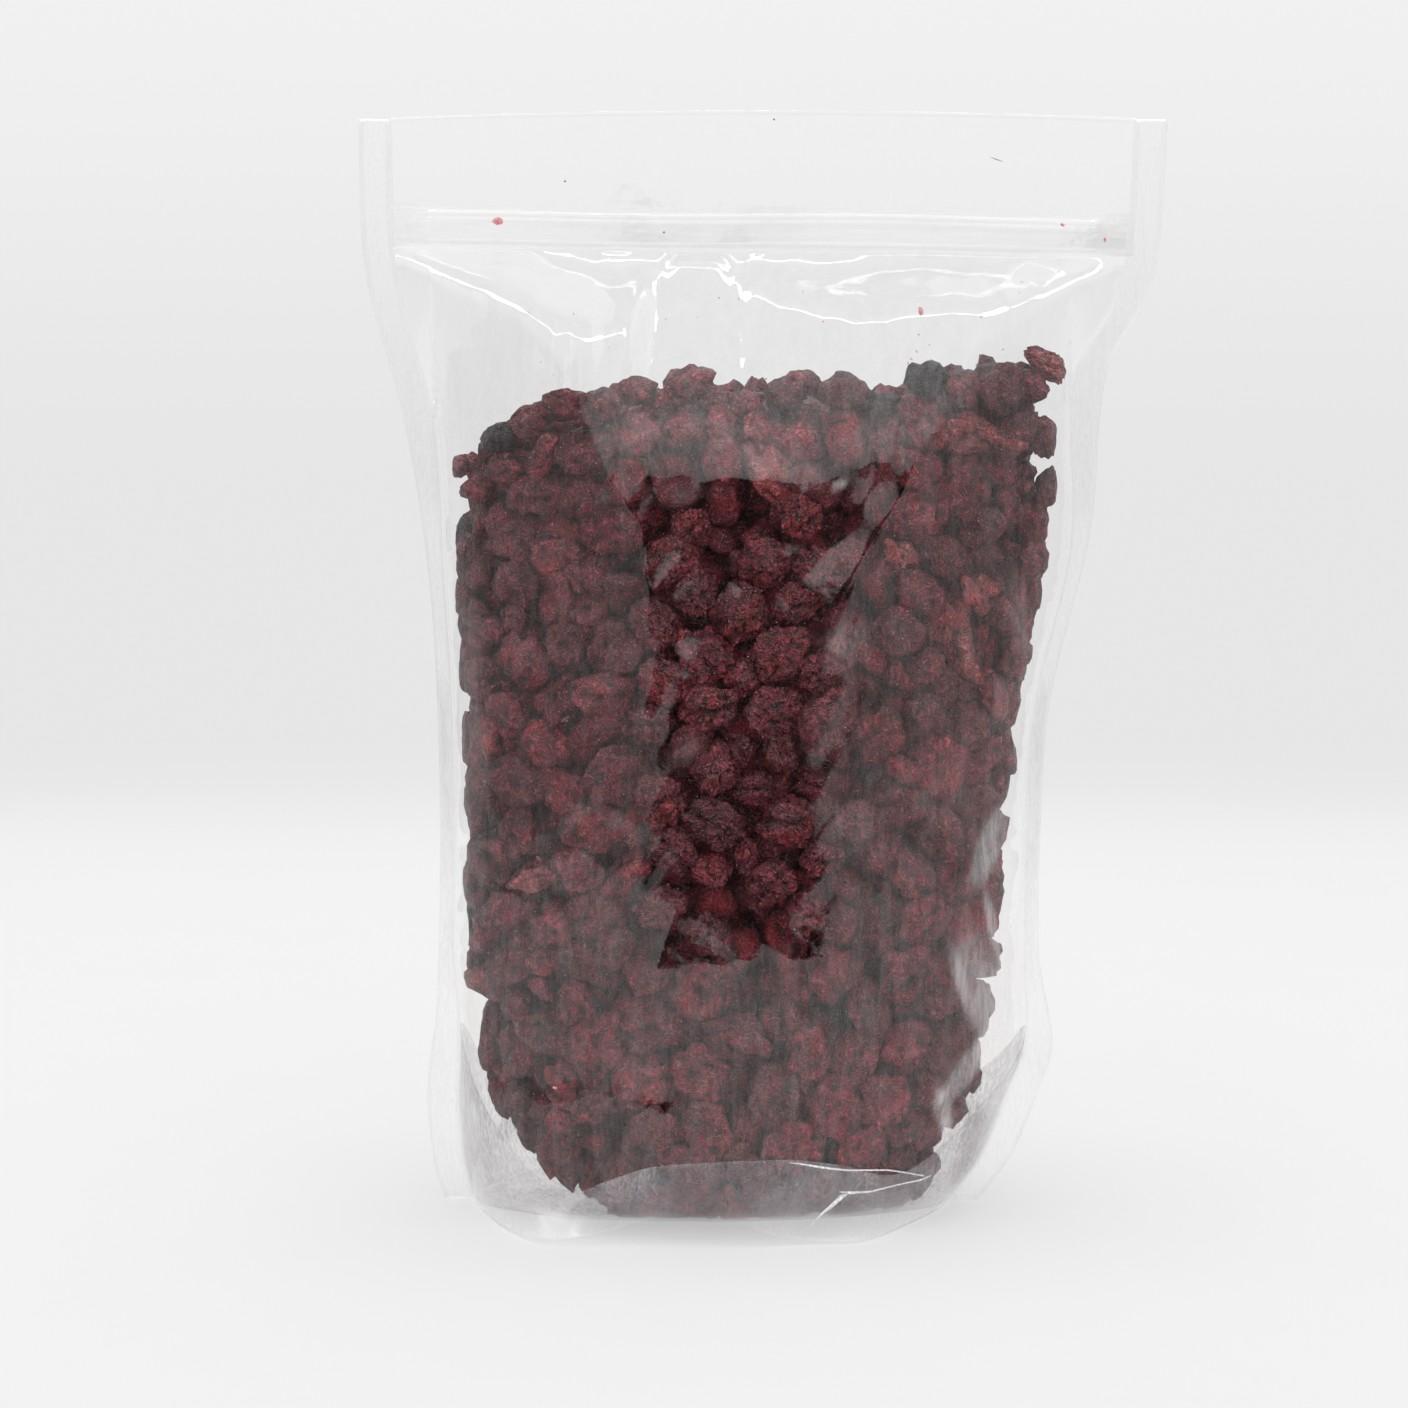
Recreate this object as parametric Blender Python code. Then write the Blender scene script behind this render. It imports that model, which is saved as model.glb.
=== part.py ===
"""Clear stand-up pouch, pressed shut and full of dried cranberries. Metres, +Z up, front towards -Y.

A flat pouch 200 mm wide and 300 mm high, with a 100 mm bottom gusset, stands on the welded lower edges of
its two panels. The fruit spreads the panels, so the pouch gets narrower as it gets deeper, and all its
sections keep the width of film of a flat panel. The origin is on the floor under the middle of the header.
"""
import math
import random

import bmesh
import bpy
from mathutils import Vector

# Driving dimensions of the pouch
FLAT_WIDTH = 0.200
WELD = 0.008                      # width of the side welds
PANEL = FLAT_WIDTH - 2 * WELD     # free width of film between the side welds
WEB = 0.0010                      # thickness that stands for a pair of films
STANDING_HEIGHT = 0.277
HEADER_ARCH = 0.0024              # the ends of the top edge stand this much lower than its middle
HEADER_WAVE = 0.0014              # the loose film above the zip waves this far to the front and the back
MOST_DEPTH = 0.0465               # half depth where the gusset's weld holds the panels back
WELD_TURN = 0.0042                # round the fruit the side welds turn away and look narrower by this much
WELD_REACH = 0.0125               # side weld and slack film beside the fruit

# The zip, which leans a little with the header
ZIP_HEIGHT = 0.2475
ZIP_TALL = 0.0095
ZIP_SLOPE = -0.0135
ZIP_RIB = 0.0011
ZIP_MARGIN = 0.0004               # flat film left above and below the zip strips
ZIP_PINCH = 0.011                 # the panels come together over this height below the zip

# The welded lower edge that the pouch stands on. Its inner edge, as (share of the half width, height), is
# level with the foot of the fruit, and its lower edge lifts and tucks in at the middle and splays out beside it
FRONT_SEAL = ((-1.00, 0.046), (-0.93, 0.034), (-0.76, 0.018), (-0.58, 0.0108), (-0.44, 0.0145), (-0.26, 0.019),
              (0.18, 0.021), (0.40, 0.019), (0.66, 0.0145), (0.80, 0.021), (0.93, 0.034), (1.00, 0.046))
BACK_SEAL = ((-1.00, 0.046), (-0.92, 0.032), (-0.74, 0.018), (-0.45, 0.012), (0.10, 0.015), (0.50, 0.012),
             (0.76, 0.018), (0.92, 0.032), (1.00, 0.046))
SKIRT_LIFT = 0.0036
SKIRT_TUCK = 0.0045
LEFT_SPLAY = 0.0125
RIGHT_SPLAY = 0.0065

# Outer edges of the side welds of the full pouch, as (height, x)
LEFT_EDGE = ((0.000, -0.0810), (0.010, -0.0837), (0.030, -0.0851), (0.051, -0.0826), (0.104, -0.0813),
             (0.155, -0.0832), (0.198, -0.0890), (0.230, -0.0974), (0.245, -0.0995), (0.277, -0.1000))
RIGHT_EDGE = ((0.000, 0.0552), (0.012, 0.0640), (0.030, 0.0710), (0.041, 0.0743), (0.064, 0.0707),
              (0.100, 0.0706), (0.130, 0.0727), (0.172, 0.0822), (0.212, 0.0858), (0.231, 0.0955),
              (0.245, 0.0985), (0.277, 0.1000))

# Sides of the fruit as (height, x), its upper limit as (x, height), and the depth of its foot as a share
# of the film's: the gusset lets the fruit's underside down onto the floor
FRUIT_LEFT = ((0.000, -0.034), (0.003, -0.044), (0.009, -0.0535), (0.018, -0.063), (0.031, -0.0718),
              (0.065, -0.0775), (0.155, -0.0795), (0.200, -0.0770), (0.214, -0.0720))
FRUIT_RIGHT = ((0.000, 0.029), (0.003, 0.038), (0.009, 0.0455), (0.018, 0.0505), (0.039, 0.0590),
               (0.096, 0.0640), (0.129, 0.0676), (0.155, 0.0724), (0.200, 0.0735), (0.220, 0.0735))
FRUIT_TOP = ((-0.080, 0.183), (-0.070, 0.196), (-0.058, 0.204), (-0.035, 0.209), (-0.012, 0.2125),
             (0.035, 0.2125), (0.055, 0.2155), (0.068, 0.2165), (0.078, 0.206))
FOOT_DEPTH = ((0.000, 0.50), (0.004, 0.74), (0.009, 0.87), (0.014, 0.93), (0.022, 0.97), (0.034, 1.0))

# The dried cranberries: half sizes of a middling berry, and the rows of those that show
BERRY_LONG = 0.0088
BERRY_WIDE = 0.0074
BERRY_THICK = 0.0062
LOWEST_ROW = 0.0155
HIGHEST_ROW = 0.205
BERRY_ROWS = 14
ROW_COUNT = 18
CORE_INSET = 0.0066               # the core that the showing berries are fused to lies this far in
CLEAR = 0.0004                    # air between the fruit and the film, and under the zip strips

# Fineness of the faceted surfaces
SECTION_COLUMNS = 16
SKIRT_COLUMNS = 30
WELD_ROWS = 20
CORE_SIDES = 18

rng = random.Random(31)


def along(stations, at):
    """Smooth curve through (place, value) stations, level beyond the ends."""
    if at <= stations[0][0]:
        return stations[0][1]
    if at >= stations[-1][0]:
        return stations[-1][1]
    i = max(n for n in range(len(stations) - 1) if stations[n][0] <= at)

    def slope(n):
        a, b = stations[max(n - 1, 0)], stations[min(n + 1, len(stations) - 1)]
        return (b[1] - a[1]) / (b[0] - a[0])

    (p0, v0), (p1, v1) = stations[i], stations[i + 1]
    span = p1 - p0
    t = (at - p0) / span
    return (v0 * (2 * t**3 - 3 * t**2 + 1) + v1 * (3 * t**2 - 2 * t**3)
            + span * (slope(i) * (t**3 - 2 * t**2 + t) + slope(i + 1) * (t**3 - t**2)))


def ease(low, high, at):
    """Smooth step from 0 at low to 1 at high."""
    t = min(max((at - low) / (high - low), 0.0), 1.0)
    return t * t * (3 - 2 * t)


def weld_span(z):
    """Middle and half width of the film between the inner edges of the side welds."""
    turned = WELD_TURN * ease(0.030, 0.070, z) * (1 - ease(0.150, 0.215, z))
    left = along(LEFT_EDGE, z) + WELD - turned
    right = along(RIGHT_EDGE, z) - WELD + turned
    return (left + right) / 2, (right - left) / 2


def bluntness(z):
    """Power of a section: an ellipse round the fruit, a lens at the zip and at the foot's corners."""
    return 0.5 + 0.45 * ease(0.190, 0.245, z) + 0.14 * (1 - ease(0.0, 0.060, z))


def film_length(half_width, depth, power):
    """Length of a panel's section from weld to weld."""
    steps = 40
    points = []
    for n in range(steps + 1):
        u = math.sin(math.pi * (n / steps - 0.5))
        points.append((half_width * u, depth * max(1 - u * u, 0.0) ** power))
    return sum(math.dist(a, b) for a, b in zip(points, points[1:]))


def solve_depth(z):
    """Half depth of the pouch at a height, from the width of film that a panel has."""
    half_width, power = weld_span(z)[1], bluntness(z)
    low, high = 0.0, FLAT_WIDTH / 3
    for _ in range(24):
        middle = (low + high) / 2
        if film_length(half_width, middle, power) < PANEL:
            low = middle
        else:
            high = middle
    return min(low, MOST_DEPTH)


DEPTHS = tuple((n * 0.004, solve_depth(n * 0.004)) for n in range(70))


def zip_edge(x, side):
    """Height of the film's flat band at the zip, at its lower (side -1) or upper (side 1) edge."""
    return ZIP_HEIGHT + ZIP_SLOPE * x + side * (ZIP_TALL / 2 + ZIP_MARGIN)


def film_depth(x, z):
    """Distance of a panel from the middle plane: the zip presses the two panels together."""
    centre, half_width = weld_span(z)
    u = min(max((x - centre) / half_width, -1.0), 1.0)
    low = zip_edge(x, -1)
    return along(DEPTHS, z) * (1 - u * u) ** bluntness(z) * (1 - ease(low - ZIP_PINCH, low, z))


def dent(x, z):
    """Depth of the two hollows pressed into the front under the zip, with a ridge between them."""
    left = math.exp(-(((x + 0.052) / 0.026) ** 2) - ((z - 0.2335) / 0.0085) ** 2)
    right = math.exp(-(((x - 0.040) / 0.036) ** 2) - ((z - 0.2350) / 0.0070) ** 2)
    return 0.0042 * left + 0.0036 * right


def header_wave(x, z):
    """How far the loose film above the zip stands to the back."""
    return HEADER_WAVE * math.sin(x / 0.030) * ease(zip_edge(x, 1), STANDING_HEIGHT, z)


def fruit_depth(x, z):
    """Half depth of the fruit: up against the film, less at its foot."""
    left, right = along(FRUIT_LEFT, z), along(FRUIT_RIGHT, z)
    u = (2 * x - left - right) / (right - left)
    if abs(u) >= 1:
        return 0.0
    heap = (along(DEPTHS, z) - WEB / 2) * (1 - u * u) ** 0.5 * along(FOOT_DEPTH, z)
    return min(heap, max(film_depth(x, z) - WEB / 2 - CLEAR, 0.0))


def skin(name, colour, rough, alpha=1.0):
    """Principled material of one sub-part."""
    material = bpy.data.materials.new(name)
    material.use_nodes = True
    shader = material.node_tree.nodes["Principled BSDF"]
    shader.inputs["Base Color"].default_value = (*colour, 1.0)
    shader.inputs["Roughness"].default_value = rough
    shader.inputs["Metallic"].default_value = 0.0
    shader.inputs["Alpha"].default_value = alpha
    return material


def add_object(name, bm, material):
    """Object from a finished mesh, faces outwards."""
    bmesh.ops.recalc_face_normals(bm, faces=bm.faces)
    mesh = bpy.data.meshes.new(name)
    bm.to_mesh(mesh)
    bm.free()
    obj = bpy.data.objects.new(name, mesh)
    mesh.materials.append(material)
    bpy.context.scene.collection.objects.link(obj)
    return obj


def close_grid(bm, front, back):
    """Closed solid from two grids of points that face each other, row by row."""
    near = [[bm.verts.new(point) for point in row] for row in front]
    far = [[bm.verts.new(point) for point in row] for row in back]
    rows, columns = len(front), len(front[0])
    for grid in (near, far):
        for r in range(rows - 1):
            for c in range(columns - 1):
                bm.faces.new((grid[r][c], grid[r][c + 1], grid[r + 1][c + 1], grid[r + 1][c]))
    for r in (0, rows - 1):
        for c in range(columns - 1):
            bm.faces.new((near[r][c], near[r][c + 1], far[r][c + 1], far[r][c]))
    for c in (0, columns - 1):
        for r in range(rows - 1):
            bm.faces.new((near[r][c], near[r + 1][c], far[r + 1][c], far[r][c]))


def drop_scraps(bm):
    """Keep the largest body: a berry that touches nothing else has no place in the heap."""
    left, bodies = set(bm.verts), []
    while left:
        body, edge = set(), [left.pop()]
        while edge:
            vert = edge.pop()
            body.add(vert)
            found = {link.other_vert(vert) for link in vert.link_edges} & left
            left -= found
            edge.extend(found)
        bodies.append(body)
    bodies.sort(key=len)
    for body in bodies[:-1]:
        bmesh.ops.delete(bm, geom=list(body), context="VERTS")


def union_all(name, parts, material):
    """One solid from overlapping ones, by one Boolean union on a collection."""
    first, rest = parts[0], parts[1:]
    group = bpy.data.collections.new(name + "_parts")
    for obj in rest:
        group.objects.link(obj)
    join = first.modifiers.new("join", "BOOLEAN")
    join.operation = "UNION"
    join.operand_type = "COLLECTION"
    join.collection = group
    join.solver = "EXACT"
    bpy.context.view_layer.update()
    graph = bpy.context.evaluated_depsgraph_get()
    mesh = bpy.data.meshes.new_from_object(first.evaluated_get(graph))
    for obj in parts:
        bpy.data.objects.remove(obj)
    bpy.data.collections.remove(group)
    bm = bmesh.new()
    bm.from_mesh(mesh)
    bpy.data.meshes.remove(mesh)
    drop_scraps(bm)
    bmesh.ops.triangulate(bm, faces=bm.faces)
    return add_object(name, bm, material)


def top_point(place, zone, share):
    """Point on the middle plane: a share of the way up from the fruit to the zip, or on to the top edge."""
    z = HIGHEST_ROW
    for _ in range(8):
        centre, half = weld_span(z)
        if place == "left":
            x = along(LEFT_EDGE, z)
        elif place == "right":
            x = along(RIGHT_EDGE, z)
        else:
            x = centre + half * place
        if zone == "fruit":
            lowest, highest = along(FRUIT_TOP, x) + CLEAR, zip_edge(x, -1)
        else:
            lowest = zip_edge(x, 1)
            highest = STANDING_HEIGHT - HEADER_ARCH * (x / (FLAT_WIDTH / 2)) ** 2
        z = lowest + (highest - lowest) * share
    return x, z


def top_of_pouch(material):
    """Closed film above the fruit, the zip band and the header, as one solid with thin welded sides."""
    columns = [math.sin(math.pi * (n / SECTION_COLUMNS - 0.5)) for n in range(SECTION_COLUMNS + 1)]
    below_zip = [("fruit", share) for share in (0.0, 0.14, 0.28, 0.42, 0.56, 0.70, 0.80, 0.90, 1.0)]
    above_zip = [("header", share) for share in (0.0, 0.35, 0.70, 1.0)]
    front, back = [], []
    for zone, share in below_zip + above_zip:
        near, far = [], []
        for place in ["left", *columns, "right"]:
            x, z = top_point(place, zone, share)
            open_by = 0.0 if place in ("left", "right") else film_depth(x, z)
            hollow = dent(x, z) * ease(0.0, 0.006, open_by)
            wave = header_wave(x, z)
            near.append((x, wave - WEB / 2 - max(open_by - hollow, 0.0), z))
            far.append((x, wave + WEB / 2 + open_by, z))
        front.append(near)
        back.append(far)
    bm = bmesh.new()
    close_grid(bm, front, back)
    return add_object("top", bm, material)


def side_weld(side, material):
    """Strip of welded film down one side of the fruit, from the closed film above it to the floor."""
    edge, fruit = (LEFT_EDGE, FRUIT_LEFT) if side < 0 else (RIGHT_EDGE, FRUIT_RIGHT)
    upper = along(FRUIT_TOP, along(fruit, HIGHEST_ROW)) + 0.009
    proud, inset = 0.2 * WEB, 0.1 * WEB        # so that no face of it lies on a face of the film above
    front, back = [], []
    for r in range(WELD_ROWS + 1):
        z = upper * (1 - r / WELD_ROWS)
        outer = along(edge, z) - side * inset
        inner = outer - side * min(WELD_REACH, abs(outer - along(fruit, z)) - CLEAR)
        sway = 0.0009 * math.sin(z / 0.021) * ease(0.052, 0.085, z) * (1 - ease(0.150, 0.190, z))
        thick = WEB / 2 + proud
        front.append([(outer, sway - thick, z), (inner, sway - thick, z)])
        back.append([(outer, sway + thick, z), (inner, sway + thick, z)])
    bm = bmesh.new()
    close_grid(bm, front, back)
    return add_object("weld", bm, material)


def lower_edge(face, place):
    """Lift of the lower edge off the floor at a place across the pouch, and how far it stands proud."""
    wave = math.exp(-(((place + 0.06 * face) / 0.30) ** 2))
    left = math.exp(-(((place + 0.75) / 0.28) ** 2))
    right = math.exp(-(((place - 0.64) / 0.17) ** 2))
    splay = (LEFT_SPLAY * left + RIGHT_SPLAY * right) * (1 - place**8)
    return SKIRT_LIFT * wave, (splay if face < 0 else 0.5 * splay) - SKIRT_TUCK * wave


def skirt(face, material):
    """Welded lower edge of one panel with its share of the gusset, on which the pouch stands."""
    root = 0.003                               # length of its end that lies inside the side weld
    outside, inside = [], []
    for level in (0.0, 0.3, 0.65, 1.0):
        near, far = [], []
        for n in range(SKIRT_COLUMNS + 1):
            place = math.sin(math.pi * (n / SKIRT_COLUMNS - 0.5))
            lift, proud = lower_edge(face, place)
            z = lift + (along(FRONT_SEAL if face < 0 else BACK_SEAL, place) - lift) * level
            centre, half = weld_span(z)
            x = centre + half * place
            depth = film_depth(x, z) + proud * (1 - level) ** 1.5
            near.append((x, face * (depth + 0.5 * WEB), z))
            far.append((x, face * (depth - 0.4 * WEB), z))
        for end, at in ((-1, 0), (1, len(near))):
            x, _, z = near[0] if end < 0 else near[-1]
            near.insert(at, (x + end * root, face * 0.5 * WEB, z))
            far.insert(at, (x + end * root, -(0.05 + 0.4 * face) * WEB, z))
        outside.append(near)
        inside.append(far)
    bm = bmesh.new()
    close_grid(bm, outside, inside)
    return add_object("skirt", bm, material)


def make_pouch():
    film = skin("clear_film", (0.86, 0.87, 0.88), 0.12, 0.35)
    parts = [top_of_pouch(film), side_weld(-1, film), side_weld(1, film), skirt(-1, film), skirt(1, film)]
    union_all("pouch", parts, film)


def make_zip(face, name):
    """One half of the press-to-close zip: a strip with two raised ribs along it."""
    plastic = skin(name, (0.93, 0.93, 0.92), 0.25, 0.6)
    profile = ((-0.5, 0.0), (0.5, 0.0), (0.5, 0.30), (0.32, 0.40), (0.25, 1.0), (0.12, 1.0), (0.05, 0.38),
               (-0.12, 0.36), (-0.18, 0.8), (-0.28, 0.8), (-0.34, 0.34), (-0.5, 0.24))
    half, stations, count = FLAT_WIDTH / 2 - WELD, 12, len(profile)
    bm = bmesh.new()
    rings = []
    for n in range(stations + 1):
        x = half * (2 * n / stations - 1)
        middle = ZIP_HEIGHT + ZIP_SLOPE * x
        rings.append([bm.verts.new((x, face * (WEB / 2 + CLEAR + ZIP_RIB * out), middle + ZIP_TALL * up))
                      for up, out in profile])
    for a, b in zip(rings, rings[1:]):
        for k in range(count):
            bm.faces.new((a[k], a[(k + 1) % count], b[(k + 1) % count], b[k]))
    bm.faces.new(rings[0])
    bm.faces.new(rings[-1])
    bmesh.ops.triangulate(bm, faces=bm.faces)
    add_object(name, bm, plastic)


def fruit_core(material):
    """Body of the heap behind the showing berries, flat under its foot."""
    levels = (0.0, 0.004, 0.012, 0.030, 0.062, 0.110, 0.155, 0.185, 0.2105)
    insets = (0.15 * CORE_INSET, 0.6 * CORE_INSET)
    bm = bmesh.new()
    rings = []
    for number, z in enumerate(levels):
        inset = insets[number] if number < len(insets) else CORE_INSET
        left, right = along(FRUIT_LEFT, z) + inset, along(FRUIT_RIGHT, z) - inset
        centre, half = (left + right) / 2, (right - left) / 2
        depth = fruit_depth(centre, z) - inset
        ring = []
        for k in range(CORE_SIDES):
            turn = 2 * math.pi * k / CORE_SIDES
            x, y = centre + half * math.cos(turn), depth * math.sin(turn)
            ring.append(bm.verts.new((x, y, min(z, along(FRUIT_TOP, x) - 0.0025))))
        rings.append(ring)
    for a, b in zip(rings, rings[1:]):
        for k in range(CORE_SIDES):
            bm.faces.new((a[k], a[(k + 1) % CORE_SIDES], b[(k + 1) % CORE_SIDES], b[k]))
    bm.faces.new(rings[0])
    bm.faces.new(rings[-1])
    return add_object("core", bm, material)


def press_inside(point, slack):
    """A point of a berry, drawn towards the middle of the heap until the film has room for it."""
    x, y, z = point
    z = max(z, 0.0009)
    z = min(z, along(FRUIT_TOP, x) - slack)
    left, right = along(FRUIT_LEFT, z), along(FRUIT_RIGHT, z)
    middle = (left + right) / 2
    for _ in range(40):
        if left + slack < x < right - slack and abs(y) < fruit_depth(x, z) - slack:
            break
        x, y = middle + (x - middle) * 0.985, y * 0.985
    return Vector((x, y, z))


def berry(centre, outward, material):
    """A dried cranberry with twenty faces, flattened where it lies against the film."""
    size = rng.uniform(0.86, 1.14)
    stretch = rng.uniform(0.92, 1.22)
    spin = rng.uniform(0.0, 2 * math.pi)
    slack = rng.uniform(0.0001, 0.0011)
    level = outward.cross(Vector((0.0, 0.0, 1.0))).normalized()
    first = level * math.cos(spin) + level.cross(outward) * math.sin(spin)
    second = outward.cross(first)
    bm = bmesh.new()
    bmesh.ops.create_icosphere(bm, subdivisions=1, radius=1.0)
    for vert in bm.verts:
        bump = size * (1 + rng.uniform(-0.09, 0.09))
        a, b, c = vert.co
        across = first * (a * BERRY_LONG * stretch) + second * (b * BERRY_WIDE)
        vert.co = press_inside(centre + bump * (across + outward * (c * BERRY_THICK)), slack)
    return add_object("berry", bm, material)


def even_turns(half, depth, count, offset):
    """Angles round an ellipse that lie evenly along its edge, each a little off its place."""
    steps = 180
    points = [(half * math.cos(2 * math.pi * n / steps), depth * math.sin(2 * math.pi * n / steps))
              for n in range(steps + 1)]
    reach = [0.0]
    for a, b in zip(points, points[1:]):
        reach.append(reach[-1] + math.dist(a, b))
    for k in range(count):
        goal = reach[-1] * ((k + offset + rng.uniform(-0.16, 0.16)) / count % 1.0)
        n = max(i for i in range(steps) if reach[i] <= goal)
        yield 2 * math.pi * (n + (goal - reach[n]) / (reach[n + 1] - reach[n])) / steps


def berry_places():
    """Places in staggered rows round the heap, from above the welded skirts up to its sloping top."""
    for row in range(BERRY_ROWS):
        share = row / (BERRY_ROWS - 1)
        level = LOWEST_ROW + (HIGHEST_ROW - LOWEST_ROW) * share
        half = (along(FRUIT_RIGHT, level) - along(FRUIT_LEFT, level)) / 2
        count = ROW_COUNT - (2 if row == 0 else 1 if share > 0.7 else 0)
        for turn in even_turns(half, fruit_depth(-0.004, level), count, 0.5 * (row % 2)):
            z = level
            for _ in range(3):
                left, right = along(FRUIT_LEFT, z), along(FRUIT_RIGHT, z)
                centre, half = (left + right) / 2, (right - left) / 2
                x = centre + half * math.cos(turn)
                z = LOWEST_ROW + (along(FRUIT_TOP, x) - BERRY_THICK - LOWEST_ROW) * share
            depth = fruit_depth(centre, z)
            out = Vector((math.cos(turn) / half, math.sin(turn) / depth, 0.0)).normalized()
            at = Vector((x, depth * math.sin(turn), z + rng.uniform(-0.002, 0.002)))
            yield at - out * BERRY_THICK * rng.uniform(0.85, 1.05), out


def make_fruit():
    red = skin("dried_cranberry", (0.16, 0.012, 0.018), 0.45)
    parts = [fruit_core(red)]
    parts.extend(berry(centre, outward, red) for centre, outward in berry_places())
    union_all("cranberries", parts, red)


for old in list(bpy.data.objects):
    bpy.data.objects.remove(old)
make_fruit()
make_pouch()
make_zip(-1, "zip_front")
make_zip(1, "zip_back")
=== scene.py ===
"""Looks of a clear stand-up pouch full of dried cranberries. Metres, +Z up, front towards -Y."""
import math

import bmesh
import bpy
import numpy as np
from mathutils import Euler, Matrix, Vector, noise


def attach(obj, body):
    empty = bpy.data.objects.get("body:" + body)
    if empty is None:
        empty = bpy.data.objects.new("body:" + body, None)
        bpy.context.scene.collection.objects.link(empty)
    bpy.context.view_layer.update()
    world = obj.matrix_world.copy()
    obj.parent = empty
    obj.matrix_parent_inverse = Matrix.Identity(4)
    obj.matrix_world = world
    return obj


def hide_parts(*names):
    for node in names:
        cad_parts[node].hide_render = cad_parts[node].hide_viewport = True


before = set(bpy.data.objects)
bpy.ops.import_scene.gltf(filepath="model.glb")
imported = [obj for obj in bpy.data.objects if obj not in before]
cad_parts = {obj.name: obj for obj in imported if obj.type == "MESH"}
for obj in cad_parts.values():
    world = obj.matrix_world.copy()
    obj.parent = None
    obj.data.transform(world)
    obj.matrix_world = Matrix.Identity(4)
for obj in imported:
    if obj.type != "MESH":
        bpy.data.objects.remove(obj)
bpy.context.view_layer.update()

# THE FILM
# The pouch is one web of clear laminated film, 0.12 mm thick, folded at the bottom into a gusset and welded
# down both sides. The fruit spreads its two panels, so every section keeps the width of film of a flat panel.
FLAT_WIDTH = 0.200
WELD = 0.008
PANEL = FLAT_WIDTH - 2 * WELD
GAP = 0.0003                      # between the two films where they lie together
HEADER_ARCH = 0.0024
HEADER_WAVE = 0.0001
MOST_DEPTH = 0.0465
WELD_TURN = 0.0042
ZIP_HEIGHT = 0.2475
ZIP_TALL = 0.0095
ZIP_SLOPE = -0.0135
ZIP_MARGIN = 0.0004
STANDING_HEIGHT = 0.277
LEVEL_ROWS = 0.062                # from here up the rows of a panel's points run level
FLOOR_GAP = 0.0006
STAINED_TO = 0.200                # up to here the fruit has stained the film, and no higher than the next
STAIN_GONE = 0.225
STAIN_PINK = (0.93, 0.51, 0.53)
LEFT_EDGE = (
    (0.000, -0.0810), (0.010, -0.0837), (0.030, -0.0851), (0.051, -0.0826), (0.104, -0.0813),
    (0.155, -0.0832), (0.198, -0.0890), (0.230, -0.0974), (0.245, -0.0995), (0.277, -0.1000))
RIGHT_EDGE = (
    (0.000, 0.0552), (0.012, 0.0640), (0.030, 0.0710), (0.041, 0.0743), (0.064, 0.0707), (0.100, 0.0706),
    (0.130, 0.0727), (0.172, 0.0822), (0.212, 0.0858), (0.231, 0.0955), (0.245, 0.0985), (0.277, 0.1000))
FRONT_SEAL = (
    (-1.00, 0.046), (-0.93, 0.034), (-0.76, 0.018), (-0.58, 0.0108), (-0.44, 0.0145), (-0.26, 0.019),
    (0.18, 0.021), (0.40, 0.019), (0.66, 0.0145), (0.80, 0.021), (0.93, 0.034), (1.00, 0.046))
BACK_SEAL = (
    (-1.00, 0.046), (-0.92, 0.032), (-0.74, 0.018), (-0.45, 0.012), (0.10, 0.015), (0.50, 0.012),
    (0.76, 0.018), (0.92, 0.032), (1.00, 0.046))

# Creases of the film as the fruit and the hand that closed it left them: points (x, z) in millimetres along
# each ridge, how far it stands out, how wide its two flanks are, and how round its top is
FRONT_CREASES = (
    (((-53, 222), (-48, 215), (-44.5, 207), (-41, 198), (-37, 187), (-29, 177), (-28, 164), (-27, 150)),
     1.5, 13, 5, 0.3),
    (((54, 224), (46, 211), (41, 198), (34, 184), (26, 173), (16, 157), (14, 142)), 1.5, 5.5, 14, 0.3),
    (((19, 208), (21, 198), (26, 186), (30, 200), (32, 211)), -0.45, 5, 5, 0.3),
    (((-47, 47), (-38, 53), (-33, 63), (-30, 67), (-14, 70), (0, 71), (14, 71), (30, 69)), 0.5, 6, 9, 0.3),
    (((48, 96), (52, 80), (56, 64), (58, 50), (52, 36)), 0.9, 5, 4, 0.5),
    (((-72, 62), (-71, 40), (-64, 24)), 0.7, 4, 4, 0.5),
    (((-64, 200), (-62, 184), (-66, 168), (-70, 150)), 0.6, 6, 9, 0.5),
    (((66, 205), (62, 190), (64, 170), (60, 150), (56, 128)), 0.6, 9, 6, 0.5),
    (((-17, 244), (-14, 236), (-12, 226), (-12, 218)), 0.55, 3, 4, 0.4),
)
BACK_CREASES = (
    (((-60, 228), (-44, 212), (-30, 196), (-22, 178), (-24, 150)), 1.3, 12, 5, 0.3),
    (((58, 232), (44, 214), (30, 200), (20, 184), (18, 160)), 1.4, 6, 13, 0.3),
    (((-40, 60), (-20, 68), (10, 66), (34, 56)), 0.6, 6, 8, 0.3),
    (((44, 110), (50, 90), (52, 66)), 0.8, 6, 5, 0.5),
)
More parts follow.
